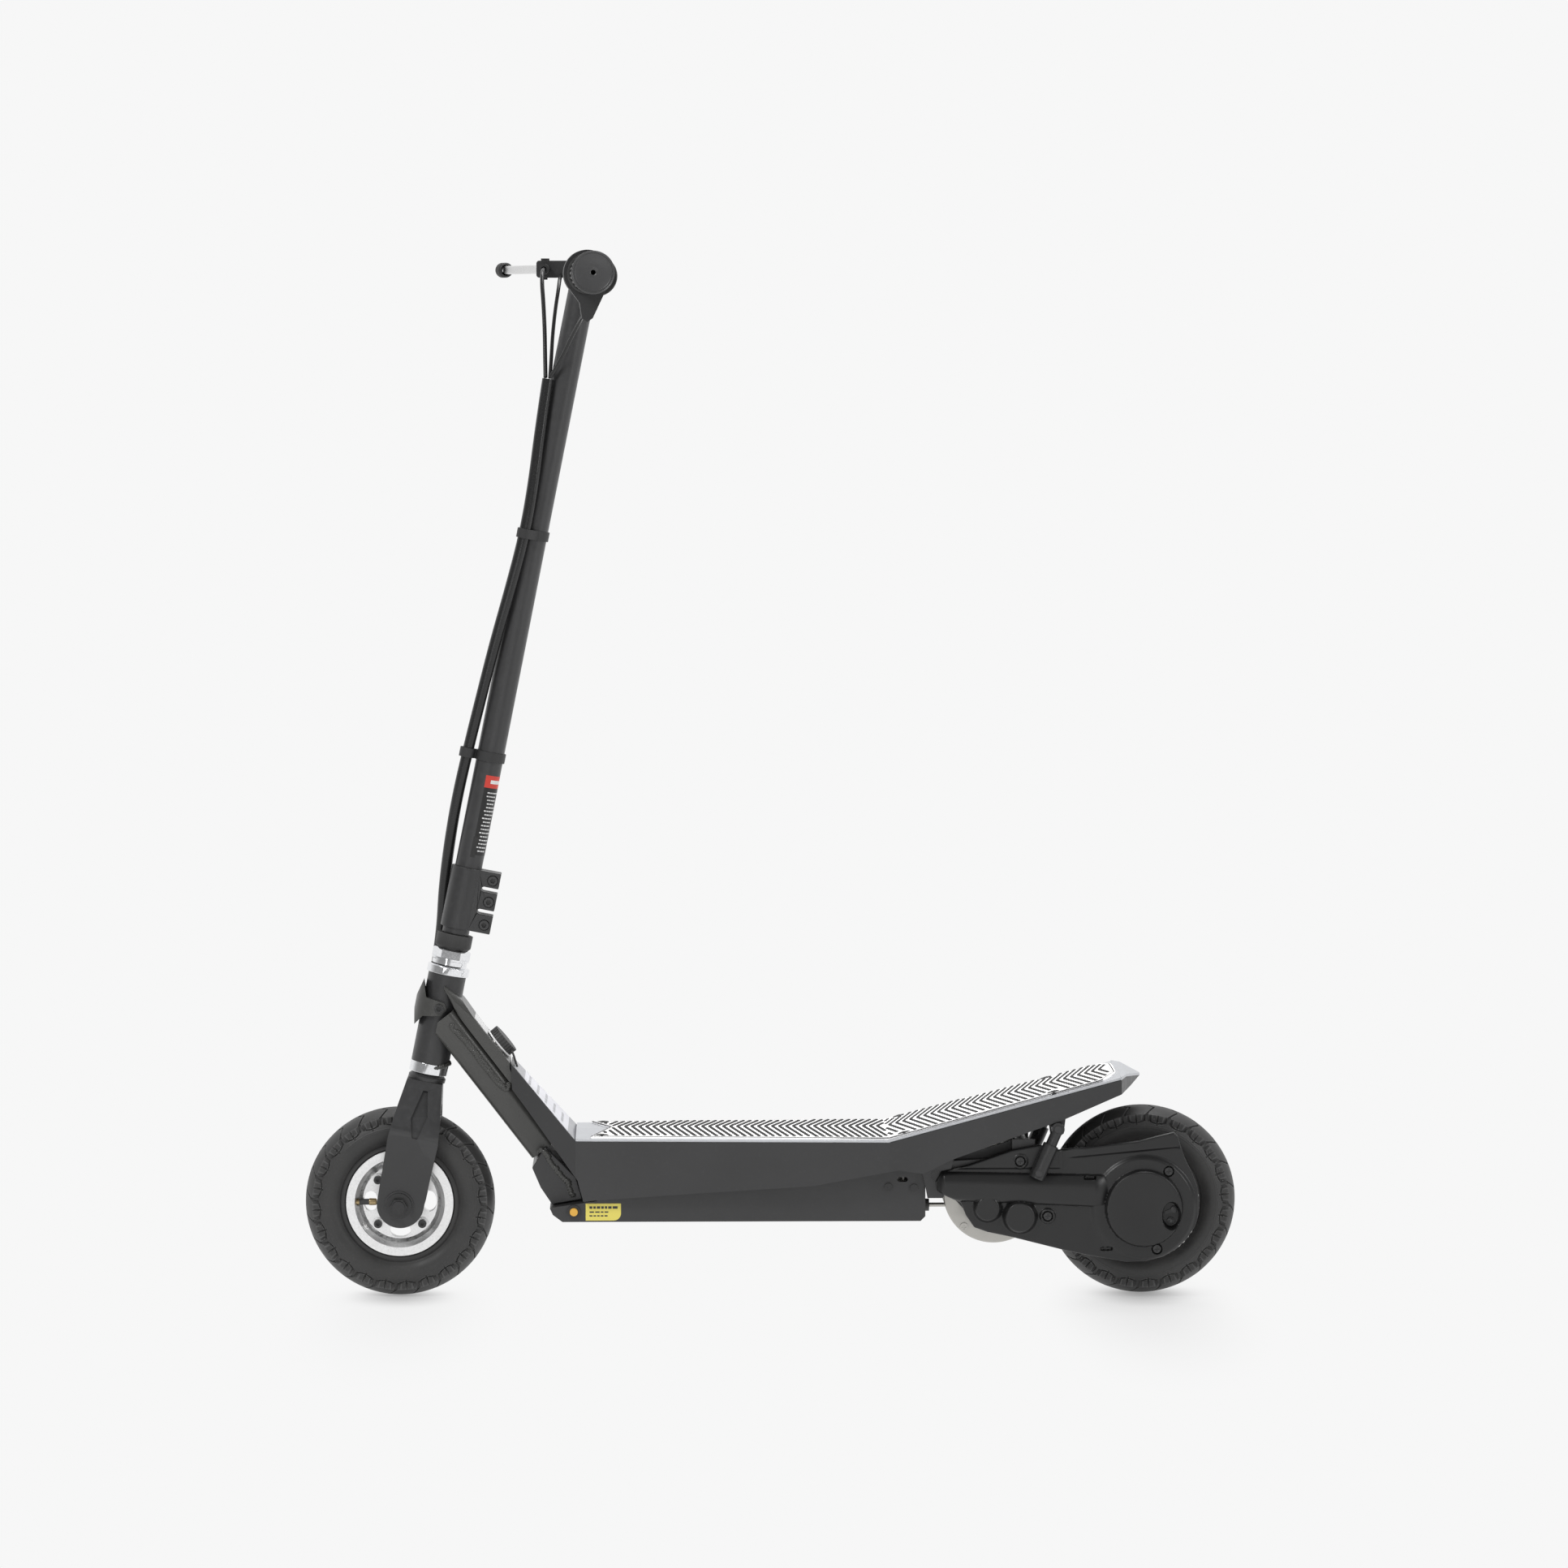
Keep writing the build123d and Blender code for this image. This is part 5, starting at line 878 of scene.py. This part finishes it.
def make_rear_cable():
    """Cable from the deck to the arm of the rear brake."""
    route = [
        Vector((0.150, 0.074, 0.157)), Vector((0.186, 0.0735, 0.150)), Vector((0.222, 0.071, 0.138)),
        Vector((0.258, 0.069, 0.129)), Vector((0.292, 0.0675, 0.124)), Vector((0.324, 0.0665, 0.122)),
    ]
    replaced = ("rear_brake_cable",)
    cord_curve("brake_cable_rear", route, 0.0022, "cable_black", "swingarm", replaced)


make_rear_cable()


# ------------------------ welds
def weld(name, points, radius, ripple, body, seed, flat=0.6):
    """Hand-laid weld bead: overlapping ripples along a seam, uneven in width."""
    rng = random.Random(seed)
    step = ripple / 5
    path = along(points, step)
    solid = Solid()
    rows = []
    wander = [rng.uniform(-1, 1) for _ in range(len(path) // 5 + 3)]
    for k, p in enumerate(path):
        run = (path[min(k + 1, len(path) - 1)] - path[max(k - 1, 0)]).normalized()
        side = run.cross(Vector((0, 1, 0))).normalized()
        out = side.cross(run).normalized()
        if out.dot(Vector((0, p.y, 0))) < 0:
            out = -out
        phase = (k % 5) / 5
        cell, blend = divmod(k / 5, 1)
        drift = wander[int(cell)] * (1 - blend) + wander[int(cell) + 1] * blend
        size = radius * (0.82 + 0.3 * math.sin(math.pi * phase)) * (1 + 0.22 * drift)
        ends = min(1.0, (k + 1) / 6, (len(path) - k) / 6)
        size *= 0.4 + 0.6 * ends
        centre = p + side * drift * radius * 0.35
        row = []
        for j in range(12):
            c, s = math.cos(2 * math.pi * j / 12), math.sin(2 * math.pi * j / 12)
            row.append(centre + side * size * c + out * size * flat * s + run * size * 0.25 * c ** 2)
        rows.append(row)
    solid.grid(rows, close_v=True, cap=True)
    piece(name, solid, "frame_olive", body, (), 70.0)


def make_welds():
    """Beads round the gusset of the neck and round the foot casting, near and far."""
    for side, tag in ((-1, "near"), (1, "far")):
        y = side * 0.0300
        upper = [(-0.3385, y, 0.2905), (-0.328, y, 0.279), (-0.3205, y, 0.2715), (-0.310, y, 0.257),
                 (-0.2995, y, 0.2430), (-0.289, y, 0.2300), (-0.2815, y, 0.2220), (-0.2770, y, 0.2225),
                 (-0.2755, y, 0.2290)]
        weld(f"neck_weld_{tag}", upper, 0.0029, 0.0026, "frame", 3 + side)
        second = [(p[0] + 0.0030, y, p[2] - 0.0004) for p in upper[1:-2]]
        weld(f"neck_weld_second_{tag}", second, 0.0019, 0.0022, "frame", 8 + side)
    for side, tag in ((-1, "near"), (1, "far")):
        y = side * 0.0420
        corner = [(-0.2405, y, 0.1595), (-0.2345, y, 0.1500), (-0.2265, y, 0.1385), (-0.2200, y, 0.1310),
                  (-0.2145, y, 0.1245), (-0.2110, y, 0.1165), (-0.2095, y, 0.1090)]
        weld(f"casting_weld_{tag}", corner, 0.0032, 0.0030, "frame", 14 + side)
        crown = [(-0.2440, y * 0.72, 0.1560), (-0.2440, y * 0.9, 0.1575), (-0.2410, y, 0.1600)]
        weld(f"casting_weld_end_{tag}", crown, 0.0030, 0.0028, "frame", 19 + side)
    for height, seed in ((0.2925, 31), (0.247, 32)):
        ring = []
        for k in range(13):
            t = math.radians(-75 + 150 * k / 12)
            up = (height - 0.1) / math.cos(LEAN) * 1000 + 3.0 * math.cos(2 * t)
            ring.append(at_stem(20.3 * math.cos(t), 20.3 * math.sin(t), up))
        weld(f"head_weld_{seed}", ring, 0.0023, 0.0024, "frame", seed, 0.8)


make_welds()


# ------------------------ labels, with bars in place of text
def stem_patch(solid, s0, s1, a0, a1, lift, steps=14):
    """Thin curved patch on the stem tube. Angles in degrees, 0 to the rear and 90 to the near side."""
    inner, outer = 14.25 + lift - 0.06, 14.25 + lift
    rows = []
    for k in range(steps + 1):
        t = math.radians(a0 + (a1 - a0) * k / steps)
        c, s = math.cos(t), math.sin(t)
        rows.append([
            at_stem(inner * c, -inner * s, s0), at_stem(outer * c, -outer * s, s0),
            at_stem(outer * c, -outer * s, s1), at_stem(inner * c, -inner * s, s1),
        ])
    solid.grid(rows, close_v=True, cap=True)


def make_stem_label():
    """Black label with a red header on the stem."""
    body, header, bars = Solid(), Solid(), Solid()
    stem_patch(body, 376, 448, -22, 88, 0.12)
    stem_patch(header, 448, 461, -22, 90, 0.12)
    stem_patch(bars, 452.6, 456.4, 8, 66, 0.18, 8)
    rng = random.Random(21)
    for row in range(17):
        s = 443.5 - row * 3.9
        angle = 10 + rng.uniform(0, 16)
        while angle < 66:
            wide = rng.uniform(5, 13)
            stem_patch(bars, s - 1.3, s, angle, min(76, angle + wide), 0.18, 3)
            angle += wide + 2.6
    label_material("label_black", 0.012)
    label_material("label_red", 0.62, (1.0, 0.075, 0.05))
    label_material("label_white", 0.75)
    piece("stem_label", body, "label_black", "steering")
    piece("stem_label_header", header, "label_red", "steering")
    piece("stem_label_bars", bars, "label_white", "steering")


def label_material(name, base, tint=(1.0, 1.0, 1.0)):
    """Printed film, made once for each name."""
    if name not in MATERIALS:
        MATERIALS[name] = plastic(name, base, tint, 0.38, 0.04, 900.0)


def flat_patch(solid, corners, depth):
    """Thin slab with the given outline, raised along its normal."""
    points = [Vector(c) for c in corners]
    normal = (points[1] - points[0]).cross(points[2] - points[1]).normalized()
    solid.grid([points, [p + normal * depth for p in points]], close_v=True, cap=True)


def make_tray_label():
    """Yellow label on the near side of the battery tray, with one corner rounded."""
    y = -0.0597
    x0, x1, z0, z1, corner = -0.1956, -0.1586, 0.0865, 0.1045, 0.0075
    outline = [(x0, y, z1), (x0, y, z0), (x1 - corner, y, z0)]
    for k in range(1, 7):
        t = math.radians(-90 + 90 * k / 6)
        outline.append((x1 - corner + corner * math.cos(t), y, z0 + corner + corner * math.sin(t)))
    outline.append((x1, y, z1))
    label_material("label_yellow", 0.78, (1.0, 0.86, 0.17))
    label_material("label_ink", 0.03)
    base, ink = Solid(), Solid()
    flat_patch(base, outline, 0.00012)
    rng = random.Random(4)
    lines = ((0.1003, 0.0013, x1 - 0.003), (0.0955, 0.0007, x1 - 0.012), (0.0915, 0.0007, x1 - 0.014))
    front = y - 0.00012
    for z, half, end in lines:
        x = x0 + 0.004
        while x < end - 0.002:
            wide = rng.uniform(0.0022, 0.0055)
            right = min(end, x + wide)
            low, high = z - half, z + half
            corners = [(x, front, high), (x, front, low), (right, front, low), (right, front, high)]
            flat_patch(ink, corners, 0.00005)
            x += wide + 0.0011
    piece("tray_label", base, "label_yellow", "frame")
    piece("tray_label_bars", ink, "label_ink", "frame")


def slope_point(x, y, lift):
    """Point above the sloped front face of the deck shell."""
    z = 0.249 + (x + 0.274) * (0.171 - 0.249) / 0.068
    return Vector((x + 0.7538 * lift, y, z + 0.6571 * lift))


def slope_strip(name, x0, x1, margin, lift, material):
    """Thin sheet across the sloped face, as wide as the face less a margin."""
    def half(x):
        return 0.033 + 0.035 * (x + 0.274) / 0.068 - margin
    solid = Solid()
    rows = []
    for x in (x0, x1):
        h = half(x)
        rows.append([slope_point(x, -h, lift - 0.0002), slope_point(x, h, lift - 0.0002),
                     slope_point(x, h, lift), slope_point(x, -h, lift)])
    solid.grid(rows, close_v=True, cap=True)
    piece(name, solid, material, "frame")


def make_neck_labels():
    """Pale label with grey edges on the deck shell's slope, and a white one on the neck."""
    label_material("label_pale", 0.80, (0.97, 0.97, 1.03))
    label_material("label_grey", 0.42, (0.97, 0.98, 1.03))
    slope_strip("deck_label", -0.2600, -0.2145, 0.0030, 0.00045, "label_pale")
    slope_strip("deck_label_top_edge", -0.2705, -0.2600, 0.0030, 0.0004, "label_grey")
    slope_strip("deck_label_low_edge", -0.2145, -0.2070, 0.0030, 0.0004, "label_grey")
    ink = Solid()
    rng = random.Random(12)
    for column in range(5):
        x = -0.2560 + column * 0.0085
        y = -0.034
        while y < 0.030:
            long = rng.uniform(0.004, 0.011)
            end = min(0.032, y + long)
            corners = ((y, 0.00048), (end, 0.00048), (end, 0.00056), (y, 0.00056))
            rows = [[slope_point(u, v, lift) for v, lift in corners] for u in (x, x + 0.0022)]
            ink.grid(rows, close_v=True, cap=True)
            y += long + 0.0035
    piece("deck_label_bars", ink, "label_grey", "frame")
    small = Solid()
    top, low = Vector((-0.3125, 0, 0.29667)), Vector((-0.2990, 0, 0.27926))
    out = Vector((0.782, 0, 0.623)) * 0.0004
    corners = ((-0.0250, 0.0), (0.0250, 0.0), (0.0250, 1.0), (-0.0250, 1.0))
    rows = [[p + Vector((0, y, 0)) + out * k for y, k in corners] for p in (top, low)]
    small.grid(rows, close_v=True, cap=True)
    piece("neck_label", small, "label_white", "frame")


def make_stem_slot_cover():
    """Rubber cover over the slot above the stem's label."""
    solid = Solid()
    stem_patch(solid, 373, 395, 72, 92, 0.14, 6)
    piece("stem_slot_cover", solid, "black_rubber", "steering")


PORT_AT = Vector((-0.2876, 0, 0.2659))
PORT_OUT = Vector((0.770513, 0, 0.637424))


def make_port_trim():
    """Pale ring under the charging cap and the strap that keeps the cap with the scooter."""
    ring = Solid()
    ring.lathe([(0.0142, 0.0004), (0.0180, 0.0004), (0.0184, 0.0009), (0.0176, 0.0021), (0.0142, 0.0021)],
               PORT_AT, PORT_OUT, 48)
    piece("port_ring", ring, "white_ring", "frame")
    strap = [
        PORT_AT + Vector((0.0085, -0.0110, -0.0102)) + PORT_OUT * 0.0070,
        PORT_AT + Vector((0.0112, -0.0128, -0.0134)) + PORT_OUT * 0.0062,
        slope_point(-0.2718, -0.0135, 0.0030), slope_point(-0.2685, -0.0125, 0.0010),
    ]
    band = cord_curve("port_strap", strap, 0.0011, "black_rubber", None, as_mesh=True)
    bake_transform(band)


def make_valves():
    """Brass valve stems with caps, drawn without their knurling, that stick out through the near side of
    each rim.
    """
    if "brass" not in MATERIALS:
        MATERIALS["brass"] = metal("brass", 0.42, (1.0, 0.74, 0.36), 0.3, None, 0.4, 0.15)
    stem = [(0.0, 0.0), (0.0034, 0.0), (0.0034, 0.006), (0.0027, 0.0065), (0.0027, 0.017), (0.0, 0.017)]
    cap = [(0.0, 0.0165), (0.0036, 0.0165), (0.0038, 0.018), (0.0036, 0.0235), (0.0026, 0.0245)]
    cap.append((0.0, 0.0245))
    for x, body, tag in ((FRONT_X, "front_wheel", "front"), (REAR_X, "rear_wheel", "rear")):
        solid = Solid()
        foot = Vector((x - 0.049, -0.0095, AXLE_Z))
        solid.lathe(stem, foot, (1, 0, 0), 24)
        solid.lathe(cap, foot, (1, 0, 0), 24)
        piece(f"{tag}_valve", solid, "brass", body)


make_stem_label()
make_tray_label()
make_neck_labels()
make_stem_slot_cover()
make_port_trim()
make_valves()


# ------------------------ camera, lights, floor
PAPER = 0.930  # the white sweep behind and below the scooter
WORLD_FRONT = 0.30


def floor_material():
    """White paper that glows evenly and takes a faint shadow close to the wheels."""
    t = Tree("floor")
    split = t.add("ShaderNodeSeparateXYZ")
    t.link(t.coord, split.inputs["Vector"])
    limits = (("From Min", -3.6), ("From Max", -2.2), ("To Min", WORLD_FRONT), ("To Max", PAPER))
    level = t.add("ShaderNodeMapRange", limits, interpolation_type="SMOOTHSTEP")
    t.link(split.outputs["Y"], level.inputs["Value"])
    glow = t.add("ShaderNodeEmission")
    t.link(level.outputs["Result"], glow.inputs["Color"])
    t.bsdf.inputs["Base Color"].default_value = (0.72, 0.72, 0.72, 1)
    t.bsdf.inputs["Roughness"].default_value = 0.9
    t.bsdf.inputs["Specular IOR Level"].default_value = 0.1
    shade = None
    spots = ((FRONT_X, 0.22, 8.0, 2.3, 0.5), (REAR_X, 0.50, 8.0, 2.3, 0.5),
             (FRONT_X, 0.55, 15.0, 11.0, 0.2), (REAR_X, 0.45, 15.0, 11.0, 0.2))
    for x, share, along_x, along_y, ahead in spots:
        moved = (("Location", (-along_x * x, ahead, 0)), ("Scale", (along_x, along_y, 1.0)))
        place = t.add("ShaderNodeMapping", moved)
        t.link(t.coord, place.inputs["Vector"])
        reach = t.add("ShaderNodeVectorMath", operation="LENGTH")
        t.link(place.outputs["Vector"], reach.inputs[0])
        limits = (("From Min", 0.0), ("From Max", 1.0), ("To Min", share), ("To Max", 0.0))
        near = t.add("ShaderNodeMapRange", limits, interpolation_type="SMOOTHSTEP")
        t.link(reach.outputs["Value"], near.inputs["Value"])
        if shade is None:
            shade = near.outputs["Result"]
            continue
        total = t.add("ShaderNodeMath", operation="ADD")
        t.link(shade, total.inputs[0])
        t.link(near.outputs["Result"], total.inputs[1])
        shade = total.outputs["Value"]
    mix = t.add("ShaderNodeMixShader")
    t.link(shade, mix.inputs[0])
    t.link(glow.outputs["Emission"], mix.inputs[1])
    t.link(t.bsdf.outputs["BSDF"], mix.inputs[2])
    t.link(mix.outputs["Shader"], t.nodes["Material Output"].inputs["Surface"])
    return t.mat


def make_stage():
    """Camera, four soft lights, a world that is bright behind the scooter, and the floor."""
    scene = bpy.context.scene
    camera_data = bpy.data.cameras.new("camera")
    camera_data.lens = 140.5
    camera_data.sensor_width = 36.0
    camera_data.clip_end = 200.0
    camera = new_object("camera", camera_data)
    camera.location = (-0.1254, -6.430, 1.0238)
    camera.rotation_euler = (math.radians(85.707), 0, math.radians(-1.24))
    scene.camera = camera

    def area(name, place, aim, size, power):
        data = bpy.data.lights.new(name, "AREA")
        data.shape = "RECTANGLE"
        data.size, data.size_y = size
        data.energy = power
        light = new_object(name, data)
        light.location = place
        light.rotation_euler = (Vector(aim) - Vector(place)).to_track_quat("-Z", "Y").to_euler()

    area("key", (-2.2, -2.6, 3.2), (0, 0, 0.45), (1.1, 1.1), 62)
    area("side", (2.9, -2.2, 1.5), (0.1, 0, 0.3), (0.7, 1.6), 26)
    area("top", (0.2, 0.5, 3.4), (0, 0, 0.3), (2.6, 0.9), 46)
    area("low", (-0.6, -3.4, 0.35), (0, 0, 0.2), (2.6, 0.3), 7)

    scene.view_settings.view_transform = "Standard"
    world = bpy.data.worlds.new("studio")
    scene.world = world
    world.use_nodes = True
    tree = world.node_tree
    background = tree.nodes["Background"]
    coord = tree.nodes.new("ShaderNodeTexCoord")
    split = tree.nodes.new("ShaderNodeSeparateXYZ")
    tree.links.new(coord.outputs["Generated"], split.inputs["Vector"])
    level = tree.nodes.new("ShaderNodeMapRange")
    level.interpolation_type = "SMOOTHSTEP"
    for key, value in (("From Min", -0.35), ("From Max", 0.55), ("To Min", WORLD_FRONT), ("To Max", PAPER)):
        level.inputs[key].default_value = value
    tree.links.new(split.outputs["Y"], level.inputs["Value"])
    tree.links.new(level.outputs["Result"], background.inputs["Color"])
    background.inputs["Strength"].default_value = 1.0

    mesh = bpy.data.meshes.new("floor")
    mesh.from_pydata([(-60, -60, 0), (60, -60, 0), (60, 60, 0), (-60, 60, 0)], [], [(0, 1, 2, 3)])
    floor = new_object("floor", mesh)
    mesh.materials.append(floor_material())


make_stage()
